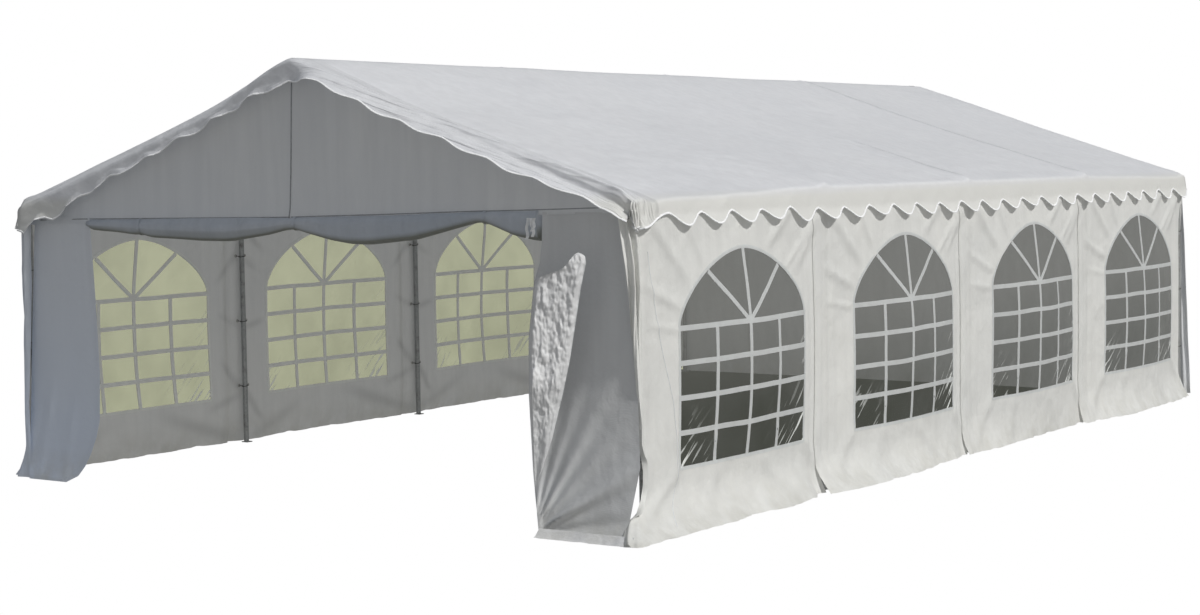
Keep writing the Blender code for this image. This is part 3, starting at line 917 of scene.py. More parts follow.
def wall_out(side, y, z):
    """How far a long wall's cloth stands out from its plane."""
    seed = wall_seed(side)
    free = smooth((1.82 - z) / 0.5)
    out = waves(y, z, seed, (0.006, 0.8, 0.6), (0.004, 2.4, 1.5)) * (0.3 + 0.7 * free)
    out += 0.0016 * wobble(y * 7, z * 5, seed + 2)
    for arch in ARCHES:
        out += 0.007 * bell(y - arch, 0.035) * free
    low = clamp(1 - z / SKIRT_HEIGHT)
    skirt = between(SKIRTS[side], y, eased=True) + 0.016 * wobble(y * 3.3, 0.2, seed + 4)
    out += low ** 2.2 * skirt + 0.012 * clamp(1 - z / 0.5) * wobble(y * 2.6, 0.7, seed + 3)
    out += clamp(1 - z / 0.12) * waves(y, z, seed + 9, (0.014, 9, 5), (0.008, 21, 9))
    for seam in WALL_SEAMS:
        drift = 0.02 * wobble(z * 2, seam, seed + 11)
        for height, behind, width, share in SEAM_FOLDS:
            out += height * bell(y - seam - behind - share * drift, width) * free
    for number, centre in enumerate(WINDOW_CENTRES):
        offset = y - centre
        if abs(offset) > 1.2:
            continue
        out += billow(number, offset, z)
        for start, end, height, width in window_folds(number, seed):
            out += FOLD_STRENGTH * height * fold(offset, z, start, end, width)
        crumple = bell(math.hypot(offset + 0.83, z - 1.33), 0.22)
        crumple += bell(math.hypot(offset - 0.66, z - 1.58), 0.20)
        out += 0.0035 * crumple * wobble(offset * 9 + z * 5, z * 13, seed + 8 + number)
    if side < 0:
        out += 0.007 * leg_crease(y, z)
    past = y - REAR_GATHER
    if past > 0:
        out += (0.007 * math.sin(past * 75 + z * 1.2) - 0.030 * smooth(past / 0.17)) * free
    return min(out, REACH_LIMIT - WALL_X)


def front_spread(y, z):
    """How far the foot of a long wall's front edge is drawn forward on the ground."""
    return 0.29 * clamp(1 - z / 0.29) ** 1.35 * smooth((-3.2 - y) / 0.83)


def wall_point(side, y, z, lift=0.0):
    return (side * (WALL_X + wall_out(side, y, z) + lift), y - (front_spread(y, z) if side > 0 else 0.0), z)


def film_wave(side, centre, y, z):
    """Extra wrinkles of the window film, none at its rim."""
    edge = clamp((WINDOW_HALF - abs(y - centre)) / 0.12) * clamp((z - WINDOW_SILL) / 0.10)
    edge *= clamp((WINDOW_SPRING + WINDOW_RISE - z) / 0.1)
    seed = 80.0 + side * 3 + centre
    wave = 0.004 * wobble(y * 3.2, z * 2.4, seed) + 0.0022 * wobble(y * 9 + z * 5, z * 3.5, seed + 1)
    for number in range(5):
        start = (centre + 0.66 - 0.13 * number, WINDOW_SILL)
        end = (start[0] + 0.16, WINDOW_SILL + 0.34 - 0.04 * number)
        wave += 0.0035 * fold(y, z, start, end, 0.016)
        start = (centre - 0.66 + 0.12 * number, WINDOW_SILL)
        end = (start[0] + 0.15, WINDOW_SILL + 0.24)
        wave += 0.0030 * fold(y, z, start, end, 0.016)
    return wave * edge


def window_loop(centre, sill_steps, jamb_steps, angles):
    """Points round a window's edge from the front end of its sill, with the arch at the angles given."""
    front, rear = centre - WINDOW_HALF, centre + WINDOW_HALF
    loop = line_between((front, WINDOW_SILL), (rear, WINDOW_SILL), sill_steps)[:-1]
    loop += line_between((rear, WINDOW_SILL), (rear, WINDOW_SPRING), jamb_steps)[:-1]
    for angle in angles:
        reach = arch_reach(angle)
        loop.append((centre + math.cos(angle) * reach, WINDOW_SPRING + math.sin(angle) * reach))
    return loop + line_between((front, WINDOW_SPRING), (front, WINDOW_SILL), jamb_steps)[:-1]


def panel_loops(start, end, centre):
    """Matching loops round the window and round the panel."""
    hem = 0.005
    sill_steps, jamb_steps, shoulder_steps, head_steps = 96, 52, 30, 84
    rise = WALL_TOP - WINDOW_SPRING
    first_turn = math.atan2(rise, end - centre)
    second_turn = math.pi - math.atan2(rise, centre - start)
    angles = []
    for low, high, steps in ((0.0, first_turn, shoulder_steps), (first_turn, second_turn, head_steps),
                             (second_turn, math.pi, shoulder_steps)):
        angles += [low + (high - low) * k / steps for k in range(steps)]
    outer = line_between((start, hem), (end, hem), sill_steps)[:-1]
    outer += line_between((end, hem), (end, WINDOW_SPRING), jamb_steps)[:-1]
    for angle in angles:
        across, up = math.cos(angle), math.sin(angle)
        limits = [rise / up] if up > 1e-6 else []
        if abs(across) > 1e-6:
            limits.append(((end if across > 0 else start) - centre) / across)
        reach = min(limits)
        outer.append((centre + across * reach, WINDOW_SPRING + up * reach))
    outer += line_between((start, WINDOW_SPRING), (start, hem), jamb_steps)[:-1]
    return window_loop(centre, sill_steps, jamb_steps, angles), outer


def make_wall_panel(side, number, name):
    """A wall panel in rings from its window's edge out to its own, lapped over the panel before it."""
    edges = (-END_Y,) + WALL_SEAMS + (END_Y,)
    start = edges[number]
    laps_before, laps_after = number > 0, number < len(WINDOW_CENTRES) - 1
    end = edges[number + 1] + (LAP if laps_after else 0.0)
    inner, outer = panel_loops(start, end, WINDOW_CENTRES[number])
    points, painted_crease_shade = [], []
    for ring in range(PANEL_RINGS + 1):
        share = ring / PANEL_RINGS
        for (y0, z0), (y1, z1) in zip(inner, outer):
            y, z = y0 + (y1 - y0) * share, z0 + (z1 - z0) * share
            lift = 0.0
            if laps_before:
                foot = (0.060 if number == 1 else 0.022) * clamp(1 - z / 0.17)
                lift += 0.0045 * smooth(1 - (y - start) / 0.05) + foot * smooth(1 - (y - start) / 0.20)
            if laps_after:
                lift -= 0.003 * smooth(1 - (end - y) / 0.05)
            # Strength of the painted crease shade at this point.
            painted_crease_shade.append(crease_shade_strength(side, number, y, z))
            x, y, z = wall_point(side, y, z, lift)
            rumple = 0.010 * max(0.0, wobble(y * 2.3, 4.0, 90.0 + side * 2))
            rumple += 0.014 * max(0.0, wobble(y * 8, 2.0, 92.0))
            z += clamp(1 - z / 0.12) * rumple
            points.append((side * min(abs(x), REACH_LIMIT), y, z))
    faces = []
    join_rings(faces, 0, PANEL_RINGS + 1, len(inner), flip=side > 0)
    replaced = (f"side_panel_{name}",)
    panel = add_piece(f"wall_cloth_{name}", points, faces, WALL_CLOTH, "wall_cloth", replaced, painted_crease_shade)


BAR_WIDTH, SPOKE_WIDTH = 0.030, 0.028
LEVEL_BARS = 4
SPOKE_END = (0.384, 0.292)
RIM_IN, RIM_OUT = 0.006, 0.014
FILM_COLUMNS, FILM_ROWS = 61, 56


def make_window_film(name, centre, surface):
    """The film of one window, with the strength of the painted highlights along its creases near the sill
    and the rear jamb.
    """
    half, rise = WINDOW_HALF + 0.008, WINDOW_RISE + 0.010
    sill = WINDOW_SILL - 0.008
    points, painted_crease_marks = [], []
    for column in range(FILM_COLUMNS):
        share = -math.cos(math.pi * column / (FILM_COLUMNS - 1))
        y = centre + half * share
        top = WINDOW_SPRING + 0.004 + rise * arch_height(share)
        to_rear, to_front = centre + half - y, y - centre + half
        for row in range(FILM_ROWS):
            z = sill + (top - sill) * row / (FILM_ROWS - 1)
            points.append(surface(y, z, 0.0))
            low = clamp(1 - (z - sill) / 0.36)
            corners = clamp(1 - to_rear / 0.50) + 0.8 * clamp(1 - to_front / 0.34)
            jamb = clamp(1 - to_rear / 0.16) * clamp((1.1 - z) / 0.2)
            painted_crease_marks.append(clamp(low * corners * 1.7) + 0.45 * jamb)
    film = add_piece(f"window_film_{name}", points, grid_faces(FILM_COLUMNS, FILM_ROWS), FILM, "window_film",
                     (f"window_{name}",), painted_crease_marks)


def make_window(side, number, name):
    """A window's film, its glazing bars and the rim welded round it."""
    centre = WINDOW_CENTRES[number]
    parts = ([], [])
    seed = 100.0 + side * 7 + number

    def surface(y, z, lift):
        return wall_point(side, y, z, film_wave(side, centre, y, z) + lift - 0.0015)

    def bar(start, end, width=BAR_WIDTH):
        steps = max(4, int(math.dist(start, end) / 0.03))
        line = []
        for k, (y, z) in enumerate(line_between(start, end, steps)):
            free = 0.006 * math.sin(math.pi * k / steps)
            line.append((y + free * wobble(z * 3, y * 3, seed), z + free * wobble(y * 3, z * 3, seed + 1)))
        ribbon_parts(line, width, 0.0034, lambda a, b, lift: surface(a, b, lift - 0.0018), parts)

    make_window_film(name, centre, surface)
    spring = WINDOW_SPRING - 0.012
    for step in range(LEVEL_BARS):
        z = spring - (spring - WINDOW_SILL) * step / LEVEL_BARS
        bar((centre - WINDOW_HALF, z), (centre + WINDOW_HALF, z))
    bar((centre, WINDOW_SILL), (centre, WINDOW_SPRING + WINDOW_RISE))
    for y in (centre - WINDOW_HALF / 2, centre + WINDOW_HALF / 2):
        bar((y, WINDOW_SILL), (y, spring))
    for sign in (-1, 1):
        bar((centre, spring), (centre + sign * SPOKE_END[0], WINDOW_SPRING + SPOKE_END[1]), SPOKE_WIDTH)

    points, faces = parts
    first = len(points)
    loop = window_loop(centre, 40, 24, [math.pi * k / 72 for k in range(72)])
    for k, (y, z) in enumerate(loop):
        before, after = loop[k - 1], loop[(k + 1) % len(loop)]
        run = (after[0] - before[0], after[1] - before[1])
        across, up = run[1] / math.hypot(*run), -run[0] / math.hypot(*run)
        for reach, lift in ((-RIM_IN, -0.0020), (-RIM_IN, 0.0022), (RIM_OUT, 0.0030), (RIM_OUT, -0.0012)):
            points.append(surface(y + across * reach, z + up * reach, lift))
    join_rings(faces, first, len(loop), 4, closed=True)
    # The left windows' bars take a lighter copy of the tape: painted light.
    look = BAR_TAPE if side > 0 else LEFT_TAPE_PAINTED_LIGHT
    add_piece(f"glazing_bars_{name}", points, faces, look, "window_film", smooth_faces=False)


PANEL_WELD = ((-3.96, 1.56), (-3.93, 1.38), (-3.85, 1.03), (-3.75, 0.72), (-3.715, 0.50), (-3.710, 0.30),
              (-3.72, 0.05))


def make_panel_weld():
    """The welded seam that runs down the first panel beside its window."""
    line = []
    for start, end in zip(PANEL_WELD[:-1], PANEL_WELD[1:]):
        line += line_between(start, end, 14)[:-1]
    line.append(PANEL_WELD[-1])
    parts = ([], [])
    ribbon_parts(line, 0.005, 0.0012, lambda y, z, lift: wall_point(1, y, z, lift + 0.0004), parts)
    add_piece("wall_weld_line", *parts, SEAM_WELD, "wall_cloth", smooth_faces=False)


def make_long_walls():
    for side, word in SIDES:
        for number in range(len(WINDOW_CENTRES)):
            name = f"{word}_{number + 1}"
            make_wall_panel(side, number, name)
            make_window(side, number, name)
    make_panel_weld()


# Front and rear ends, whose cloth may reach FRONT_LIMIT on Y
END_HALF = 2.462
FRONT_LIMIT = -4.344
SEAM_LIFT = 0.0006

# Height of the seam over the doorway along X, and place of the gable's middle seam along Z
SEAM_LINE = ((-2.46, 1.712), (-1.886, 1.724), (-0.076, 1.742), (2.161, 1.799), (2.46, 1.806))
CENTRE_SEAM = ((1.70, -0.075), (2.62, -0.035))


def under_roof(x):
    """Height of the end sheets' upper edge."""
    return RIDGE - SLOPE * abs(x) - 0.012


def end_out(x, z, seed):
    """Soft upright folds of the end sheets."""
    return waves(x, z, seed, (0.006, 1.4, 0.4), (0.004, 5.5, 0.7), (0.0016, 13, 2.0))


def toward_viewer(x, z, out):
    """A point of the front plane brought forward along the photograph's line of sight."""
    share = out / (-CAMERA_PLACE[1] - END_Y)
    return (x + (CAMERA_PLACE[0] - x) * share, -(END_Y + out), z + (CAMERA_PLACE[2] - z) * share)


def make_gable():
    """The triangle over the doorway, with its lower edge over the rolled curtain."""
    def gable_out(x, z):
        out = end_out(x, z, 119.0) + 0.004 * bell(x - between(CENTRE_SEAM, z), 0.02)
        return out + 0.010 * smooth(1 - (z - between(SEAM_LINE, x) + 0.02) / 0.10)

    def place(a, b):
        x = -END_HALF + 2 * END_HALF * a
        base = between(SEAM_LINE, x) - 0.030
        z = base + (under_roof(x) - base) * b
        return (x, -(END_Y + gable_out(x, z)), z)

    def surface(x, z, lift):
        return (x, -(END_Y + gable_out(x, z) + SEAM_LIFT + lift), z)

    gable = add_grid("front_gable_cloth", 221, 36, place, END_CLOTH_PAINTED_SHADE, "wall_cloth", ("front_gable",))
    # The seam strips are painted shadow lines.
    parts = ([], [])
    level = [(x, between(SEAM_LINE, x) + 0.003 * wobble(x * 1.2, 0, 131.0))
             for x, _ in line_between((-2.30, 0), (2.36, 0), 120)]
    ribbon_parts(level, 0.0055, 0.0010, surface, parts)
    upright = [(between(CENTRE_SEAM, z) + 0.004 * wobble(z * 2, 0, 132.0), z)
               for _, z in line_between((0, 1.735), (0, 2.62), 40)]
    ribbon_parts(upright, 0.008, 0.0012, surface, parts)
    add_piece("front_gable_seams_cloth", *parts, SEAM_SHADOW_LINE, "wall_cloth")


# The front panels' heights, where those below 0 lie flat on the ground, the hem's place on X, and how far the
# cloth may stand out in front
RIGHT_LOW, RIGHT_HIGH = -0.052, 1.775
LEFT_LOW, LEFT_HIGH = -0.02, 1.735
HEM_START, HEM_LENGTH = 1.955, 0.63
PANEL_LIMIT, FLAP_LIMIT, HEM_LIMIT = 0.305, 0.312, 0.318

# The place from where folds rise over the right front panel: angle from the ground, width, height
FOOT = (1.745, -0.04)
RIGHT_RAYS = ((10, 5.0, -0.020), (30, 5.0, 0.050), (46, 4.5, 0.020), (58, 4.5, 0.030), (69, 4.0, 0.018),
              (79, 3.5, 0.016))


def right_panel_out(x, z):
    """How far the right front panel stands out: it spreads at its foot, from where rays of folds rise."""
    out = end_out(x, z, 140.0)
    reach = math.hypot(x - FOOT[0], z - FOOT[1])
    turn = math.degrees(math.atan2(z - FOOT[1], x - FOOT[0] + 0.03))
    fade = smooth(1 - reach / 1.85) * smooth(reach / 0.2)
    for angle, width, height in RIGHT_RAYS:
        out += height * fade * bell(turn - angle, width)
    out += 0.262 * clamp(1 - (z - RIGHT_LOW) / 1.20) ** 2.2 + 0.012 * bell(x - 2.1, 0.5) * smooth(z / 0.6)
    return min(out, PANEL_LIMIT)


# Along Z: the edges of the front panels and of the flap, and along X the flap's upper edge
RIGHT_PANEL_LEFT = ((-0.06, 1.757), (0.32, 1.722), (0.75, 1.702), (1.07, 1.708), (1.38, 1.752),
                    (1.50, 1.796), (1.62, 1.812), (1.80, 1.82))
RIGHT_PANEL_RIGHT = ((-0.06, 2.330), (0.06, 2.372), (0.38, 2.452), (0.84, 2.444), (1.35, 2.405),
                     (1.80, 2.345))
LEFT_PANEL_RIGHT = ((-0.02, -2.14), (0.03, -2.02), (0.10, -1.95), (0.19, -1.89), (0.30, -1.835),
                    (0.41, -1.80), (0.72, -1.785), (1.20, -1.805), (1.60, -1.83), (1.75, -1.84))
LEFT_PANEL_LEFT = ((0.0, -2.50), (0.30, -2.475), (0.50, -2.458), (0.91, -2.43), (1.60, -2.375),
                   (1.75, -2.36))
FLAP_RIGHT = ((0.26, 1.755), (0.36, 1.80), (0.51, 1.86), (0.75, 1.935), (0.95, 1.990), (1.34, 2.070),
              (1.42, 2.09), (1.50, 2.112), (1.54, 2.105), (1.556, 2.06))
FLAP_TOP = ((1.75, 1.385), (1.80, 1.415), (1.86, 1.435), (1.95, 1.46), (1.99, 1.50), (2.04, 1.548),
            (2.075, 1.556), (2.12, 1.52))
FLAP_LOW, FLAP_HIGH = 0.26, 1.556
FLAP_LEFT_OUT, FLAP_RIGHT_OUT = 0.265, 0.120


def across_panel(left, right, z, share):
    """Place on X at a share of the way between two edges, with the edges' own places."""
    left_x, right_x = between(left, z), between(right, z)
    return left_x + (right_x - left_x) * share, left_x, right_x


def above_ground(point):
    """The point, raised onto the ground where it would lie under it."""
    return (point[0], point[1], max(point[2], 0.004))


def make_front_right():
    """The right front panel, the door's flap folded over it and the hem that lies on the ground."""
    def right(a, b):
        z = RIGHT_LOW + (RIGHT_HIGH - RIGHT_LOW) * b
        x, left_x, _ = across_panel(RIGHT_PANEL_LEFT, RIGHT_PANEL_RIGHT, z, a)
        out = right_panel_out(x, z) + 0.010 * smooth(1 - (x - left_x) / 0.05)
        return above_ground(toward_viewer(x, z, out))

    def flap(a, b):
        z = FLAP_LOW + (FLAP_HIGH - FLAP_LOW) * b
        left_x, right_x = between(RIGHT_PANEL_LEFT, z) + 0.004, between(FLAP_RIGHT, z)
        x = left_x + (right_x - left_x) * a
        z = min(z, between(FLAP_TOP, x) + 0.006 * wobble(x * 30, 0, 151.0))
        crumple = waves(x, z, 152.0, (0.012, 13, 7), (0.008, 30, 19), (0.0055, 62, 46))
        edge = smooth(a / 0.10) * smooth((1 - a) / 0.12)
        narrow = clamp((right_x - left_x) / 0.25)
        stand = (FLAP_LEFT_OUT + (FLAP_RIGHT_OUT - FLAP_LEFT_OUT) * a) * smooth(a / 0.05)
        out = right_panel_out(x, z) + 0.012 + narrow * (stand + 0.016 * edge + crumple * (0.5 + 0.5 * edge))
        return toward_viewer(x, z, min(out, FLAP_LIMIT))

    def ground_hem(a, b):
        x = HEM_START + HEM_LENGTH * a
        start = 0.262 + 0.010 * wobble(x * 5, 0, 173.0)
        spread = min(HEM_LIMIT, start + b * (0.056 + 0.010 * wobble(x * 6, 0, 171.0)))
        z = 0.046 * (1 - b) ** 1.3 + 0.003 + 0.006 * abs(wobble(x * 9, b * 2, 172.0))
        return (x, -(END_Y + spread), z)

    replaced = ("front_panel_right",)
    # The right front panel takes a darker copy of the end cloth: painted shade.
    panel = add_grid("front_cloth_right", 56, 120, right, RIGHT_PANEL_PAINTED_SHADE_CLOTH, "wall_cloth", replaced)
    piece = add_grid("door_flap_fold", 64, 160, flap, FLAP_CLOTH, "wall_cloth")
    hem = add_grid("front_hem_right", 40, 6, ground_hem, FLAP_CLOTH, "wall_cloth")


def make_front_left():
    """The left front panel, with its foot spread on the ground."""
    def left(a, b):
        z = LEFT_LOW + (LEFT_HIGH - LEFT_LOW) * b
        x, _, right_x = across_panel(LEFT_PANEL_LEFT, LEFT_PANEL_RIGHT, z, a)
        out = end_out(x, z, 160.0) + 0.010 * smooth(1 - (right_x - x) / 0.06)
        out += 0.115 * clamp(1 - z / 0.55) ** 1.6 + 0.014 * bell(x + 2.1, 0.25) * smooth(z / 0.8)
        out += 0.010 * fold(x, z, (-2.40, 0.02), (-2.20, 0.75), 0.045)
        out += 0.008 * fold(x, z, (-2.15, 0.0), (-2.02, 0.6), 0.04)
        return above_ground(toward_viewer(x, z, out))

    panel = add_grid("front_cloth_left", 48, 110, left, END_CLOTH_PAINTED_SHADE, "wall_cloth", ("front_panel_left",))


# Along Z, where each wall's front edge is tied over the front panels: place on X, and how far it stands out
RETURN_EDGES = {
    1: ((0.0, 2.33), (0.06, 2.335), (0.10, 2.355), (0.15, 2.420), (0.22, 2.452), (0.30, 2.468),
        (0.37, 2.470), (0.44, 2.458), (0.52, 2.436), (0.60, 2.432), (0.84, 2.428), (1.35, 2.388),
        (1.60, 2.350), (1.80, 2.322)),
    -1: ((0.0, 2.375), (0.12, 2.375), (0.30, 2.42), (0.50, 2.43), (0.91, 2.40), (1.60, 2.345), (1.80, 2.33)),
}
RETURN_OUT = {
    1: ((0.0, 0.312), (0.06, 0.230), (0.12, 0.140), (0.26, 0.045), (0.45, 0.020), (0.62, 0.036),
        (0.78, 0.020), (0.95, 0.012), (1.1, 0.018), (1.3, 0.055), (1.5, 0.095), (1.62, 0.085),
        (1.72, 0.060), (1.8, 0.050)),
    -1: ((0.0, 0.095), (0.12, 0.078), (0.3, 0.050), (0.6, 0.040), (1.8, 0.045)),
}


def return_bow(side, a, z):
    """How far a corner return bows out between the wall's edge (a = 0) and its tied edge (a = 1)."""
    bow = 0.030 * math.sin(math.pi * a) + 0.003 * wobble(a * 5, z * 4, 180.0 + side)
    pleats = 0.010 * math.sin(a * 16 + z * 2.6) - 0.022 * bell(a - 0.45 - 0.30 * (z - 1.5), 0.07)
    pleats -= 0.012 * bell(a - 0.75 + 0.35 * (z - 1.6), 0.05)
    bow += smooth((z - 0.7) / 0.7) * smooth(a / 0.15) * pleats
    low = clamp(1 - z / 0.22)
    return bow + low * math.sin(math.pi * a) * (0.012 * math.sin(a * 13 + z * 20) + 0.010)


def make_corner_returns():
    """The long walls' front edges, gathered round the corner and tied back over the front panels."""
    for side, word in SIDES:
        def place(a, b, side=side):
            z = 0.006 + 1.80 * b
            end_x, out = between(RETURN_EDGES[side], z), between(RETURN_OUT[side], z)
            end_y = -(END_Y + out)
            if side > 0:
                end_x = toward_viewer(end_x, z, out)[0]
            start = wall_point(side, -END_Y, z)
            start_x, start_y = abs(start[0]), start[1]
            bow = return_bow(side, a, z)
            run_x, run_y = end_x - start_x, end_y - start_y
            length = math.hypot(run_x, run_y) or 1.0
            x = start_x + run_x * a - run_y / length * bow
            y = start_y + run_y * a + run_x / length * bow
            return (side * min(REACH_LIMIT, x), max(y, FRONT_LIMIT), z)

        # The left return takes the end cloth's painted shade.
        look = WALL_CLOTH if side > 0 else END_CLOTH_PAINTED_SHADE
        piece = add_grid(f"corner_return_{word}", 44, 110, place, look, "wall_cloth", flip=side < 0)


def make_rear():
    """The closed rear wall, and painted shadow lines along its seams."""
    base = 0.005

    def rear_out(x, z):
        spread = 0.035 * clamp(1 - z / 0.35) ** 1.6 * (1 + 0.6 * wobble(x * 1.9, 0, 193.0))
        return end_out(x, z, 190.0) + spread

    def place(a, b):
        x = -END_HALF + 2 * END_HALF * a
        z = base + (under_roof(x) - base) * b
        return (x, END_Y + rear_out(x, z), z)

    def surface(x, z, lift):
        return (x, END_Y + rear_out(x, z) + SEAM_LIFT + lift, z)

    rear = add_grid("rear_cloth", 190, 100, place, WALL_CLOTH, "wall_cloth", ("rear_wall",), flip=True)
    parts = ([], [])
    for start, end, steps, width, thickness in (
        ((-2.44, 1.772), (2.44, 1.772), 120, 0.007, 0.0012),
        ((0.0, 1.772), (0.0, 2.60), 40, 0.010, 0.0014),
        ((-1.75, 0.02), (-1.75, 1.77), 60, 0.012, 0.002),
        ((1.75, 0.02), (1.75, 1.77), 60, 0.012, 0.002),
    ):
        ribbon_parts(line_between(start, end, steps), width, thickness, surface, parts)
    add_piece("rear_seams", *parts, SEAM_SHADOW_LINE, "wall_cloth")


# Along Z: the rear edges' place on X
REAR_EDGE = ((0.0, 2.528), (0.55, 2.508), (1.38, 2.478), (1.74, 2.455))
REAR_EDGE_START = 2.42


def make_rear_edges():
    """The rear cloth's two edges, drawn past the corners in upright folds."""
    for side, word in SIDES:
        def place(a, b, side=side):
            z = 0.02 + 1.70 * b
            edge = between(REAR_EDGE, z) + 0.005 * wobble(z * 3, 0, 195.0)
            x = REAR_EDGE_START + (edge - REAR_EDGE_START) * a
            ripple = 0.016 * math.sin(a * 9 + z * 1.4) + 0.006 * wobble(a * 6, z * 5, 196.0 + side)
            return (side * x, END_Y + 0.050 + ripple * smooth(a * 3), z)

        # The rear edges take the end cloth's painted shade.
        piece = add_grid(f"rear_edge_{word}", 24, 90, place, END_CLOTH_PAINTED_SHADE, "wall_cloth", flip=side > 0)


# Rolled door curtain, with the height of its underside along X
ROLL_BOTTOM = ((-1.89, 1.668), (-1.80, 1.652), (-1.60, 1.640), (-1.41, 1.622), (-1.36, 1.628), (-1.28, 1.608),
               (-0.83, 1.590), (-0.57, 1.592), (-0.25, 1.632), (-0.10, 1.664), (-0.03, 1.666), (0.05, 1.645),
               (0.25, 1.600), (0.41, 1.580), (0.56, 1.580), (0.90, 1.612), (1.20, 1.680), (1.36, 1.715),
               (1.42, 1.712), (1.50, 1.685), (1.62, 1.640), (1.775, 1.615), (1.90, 1.620))
ROLL_Y = -4.016
ROLL_START, ROLL_STOP = -1.86, 1.80
ROLL_COLUMNS, ROLL_SIDES = 300, 44
STRAP_PLACES = (-1.36, -0.03, 1.42)
STRAP_WIDTH, STRAP_GAP = 0.022, 0.003

# The white ends that hang at the roll's right end: place on X, sideways lean, drop
ROLL_ENDS = ((1.765, -0.014, 0.120), (1.785, 0.016, 0.105), (1.806, -0.008, 0.075))


def roll_section(x):
    """Middle height, half height and half depth of the rolled curtain."""
    bottom = 0.25 * sum(between(ROLL_BOTTOM, x + step) for step in (-0.03, -0.01, 0.01, 0.03))
    top = between(SEAM_LINE, x) + 0.002
    half = (top - bottom) / 2
    return bottom + half, half, 0.030 + 0.30 * half


def make_door_roll():
    """The rolled curtain, with its spiral folds, the straps round it and the white ties at its end."""
    points, faces = [], []
    for column in range(ROLL_COLUMNS):
        x = ROLL_START + (ROLL_STOP - ROLL_START) * column / (ROLL_COLUMNS - 1)
        middle, height, depth = roll_section(x)
        taper = 1 - 0.35 * smooth(1 - (x - ROLL_START) / 0.05)
        height, depth = height * taper, depth * taper
        for side in range(ROLL_SIDES):
            angle = 2 * math.pi * side / ROLL_SIDES
            rough = 1 + 0.05 * wobble(x * 2.5, math.cos(angle) * 1.3, 200.0 + math.sin(angle))
            rough += 0.045 * math.sin(angle * 5 + x * 0.8 + 0.6 * math.sin(x * 3)) * clamp(height / 0.07)
            rough -= 0.12 * bell(math.sin((angle - 4.3) / 2), 0.06)
            points.append((x, ROLL_Y + depth * rough * math.cos(angle),
                           middle + height * min(rough, 1.03) * math.sin(angle)))
    join_rings(faces, 0, ROLL_COLUMNS, ROLL_SIDES)
    cap_rings(faces, 0, ROLL_COLUMNS, ROLL_SIDES)
    roll = add_piece("door_curtain_roll", points, faces, ROLL_CLOTH_PAINTED_SHADE, "wall_cloth", ("front_door_roll",))

    for number, x in enumerate(STRAP_PLACES, 1):
        middle, height, depth = roll_section(x)

        def place(a, b, x=x, height=height + STRAP_GAP, depth=depth + STRAP_GAP, middle=middle):
            angle = 2 * math.pi * a
            y, z = ROLL_Y + depth * math.cos(angle), middle + height * math.sin(angle)
            return (x + STRAP_WIDTH * (b - 0.5), y, z)

        strap = add_grid(f"roll_strap_{number}", 33, 3, place, ROLL_CLOTH_PAINTED_SHADE, "wall_cloth")

    for number, (x, lean, drop) in enumerate(ROLL_ENDS):
        def place(a, b, x=x, lean=lean, drop=drop, number=number):
            swing = 0.006 * math.sin(a * 9 + number)
            y = ROLL_Y - 0.072 + 0.018 * (b - 0.5) - 0.006 * math.sin(a * 7 + number)
            return (x + lean * a + 0.008 * (b - 0.5) + swing, y, 1.745 - drop * a)

        tie = add_grid(f"roll_tie_{number + 1}", 16, 3, place, BINDING, "wall_cloth")


# Small fittings
TIE_HEIGHTS = (0.42, 0.90, 1.38)
TIE_RADIUS, TIE_THICKNESS, TIE_TILT = 0.0225, 0.0030, 0.004
EYE_RADIUS = 0.009
WASHER_RADIUS, WASHER_THICKNESS = 0.0085, 0.0015
HEAD_RADIUS, HEAD_TOP = 0.0062, 0.0062
SLEEVE_RADIUS, SOCKET_RADIUS = 0.0213, 0.0223
RIDGE_AXIS = RIDGE - 0.0063 - 0.0240
EAVE_AXIS = RIDGE_AXIS - LEG_X * SLOPE


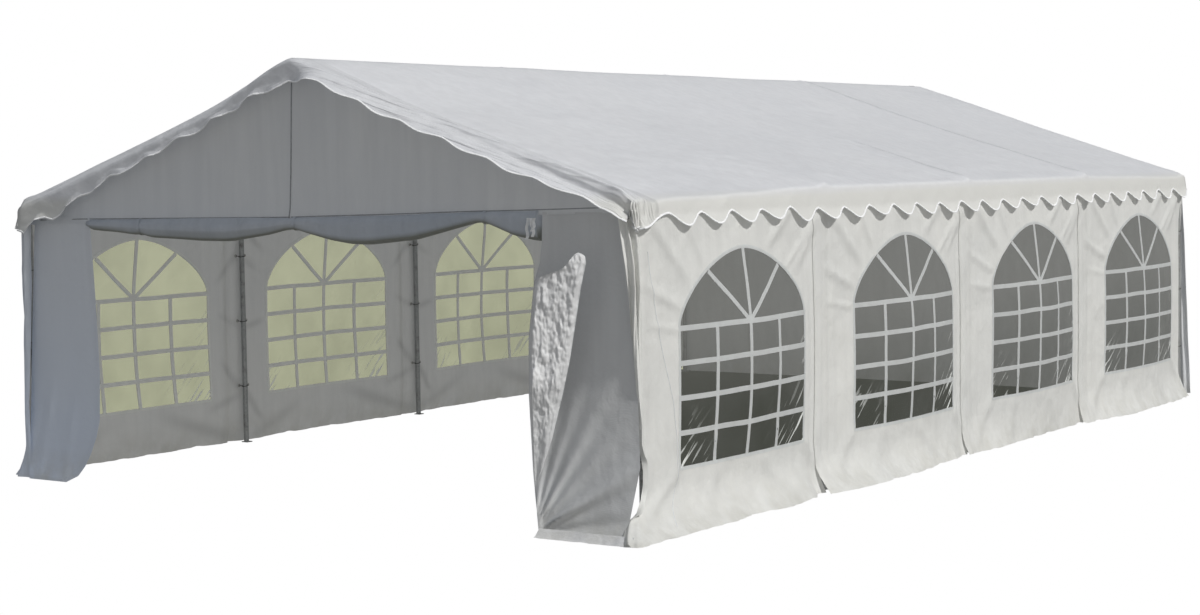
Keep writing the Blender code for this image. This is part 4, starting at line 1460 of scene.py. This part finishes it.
def make_leg_ties():
    """Elastic rings on the legs. At all but the corner legs, their ends run to eyes in the walls."""
    ties, eyes = ([], []), ([], [])
    places = [(side, arch, height) for side, _ in SIDES for arch in ARCHES for height in TIE_HEIGHTS]
    for side, arch, height in places:
        ring = [(side * LEG_X + TIE_RADIUS * cosine, arch + TIE_RADIUS * sine, height + TIE_TILT * sine)
                for cosine, sine in circle(20)]
        tube_parts(ring, TIE_THICKNESS, 6, ties, closed=True)
        if arch in (ARCHES[0], ARCHES[-1]):
            continue
        for way in (-1, 1):
            x, y, z = side * (WALL_X - 0.010), arch + way * 0.046, height + TIE_TILT
            tube_parts([(side * (LEG_X + 0.010), arch + way * 0.020, height), (x, y, z)], 0.0028, 6, ties)
            eye = [(x, y + EYE_RADIUS * cosine, z + EYE_RADIUS * sine) for cosine, sine in circle(14)]
            tube_parts(eye, 0.0030, 6, eyes, closed=True)
    add_piece("elastic_leg_ties", *ties, RUBBER, "frame_steel")
    add_piece("wall_tie_eyes", *eyes, ZINC_BOLT, "frame_steel")


def make_frame_bolts():
    """Bolts through the sleeves and sockets of the frame, where legs, rafters and rails meet."""
    bolts = ([], [])

    def bolt(place, way):
        """A washer and a hexagon head that stand on a tube's face."""
        for radius, low, high, sides in ((WASHER_RADIUS, 0.0, WASHER_THICKNESS, 16),
                                         (HEAD_RADIUS, WASHER_THICKNESS, HEAD_TOP, 6)):
            tube_parts([place + way * low, place + way * high], radius, sides, bolts)

    for side, _ in SIDES:
        inward = Vector((-side, 0, 0))
        up_slope = Vector((-side * math.cos(SLOPE_ANGLE), 0, math.sin(SLOPE_ANGLE)))
        below = Vector((-side * math.sin(SLOPE_ANGLE), 0, -math.cos(SLOPE_ANGLE))).normalized()
        for arch in ARCHES:
            eave, ridge = Vector((side * LEG_X, arch, EAVE_AXIS)), Vector((0, arch, RIDGE_AXIS))
            bolt(eave + inward * SLEEVE_RADIUS - Vector((0, 0, 0.078)), inward)
            bolt(eave + up_slope * 0.080 + below * SLEEVE_RADIUS, below)
            bolt(ridge - up_slope * 0.080 + below * SLEEVE_RADIUS, below)
            for way in (-0.045, 0.045):
                if abs(arch + way) < 4.0:
                    bolt(eave + inward * SOCKET_RADIUS + Vector((0, way, 0)), inward)
    add_piece("frame_bolts", *bolts, ZINC_BOLT, "frame_steel")


def make_fittings():
    make_leg_ties()
    make_frame_bolts()
    for node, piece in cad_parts.items():
        if node.startswith(("leg_", "rafter_", "ridge_rail", "eave_rail")):
            piece.data.materials.clear()
            piece.data.materials.append(STEEL)


make_camera()
make_stage()
make_roof()
make_long_walls()
make_gable()
make_front_right()
make_front_left()
make_corner_returns()
make_rear()
make_rear_edges()
make_door_roll()
make_fittings()
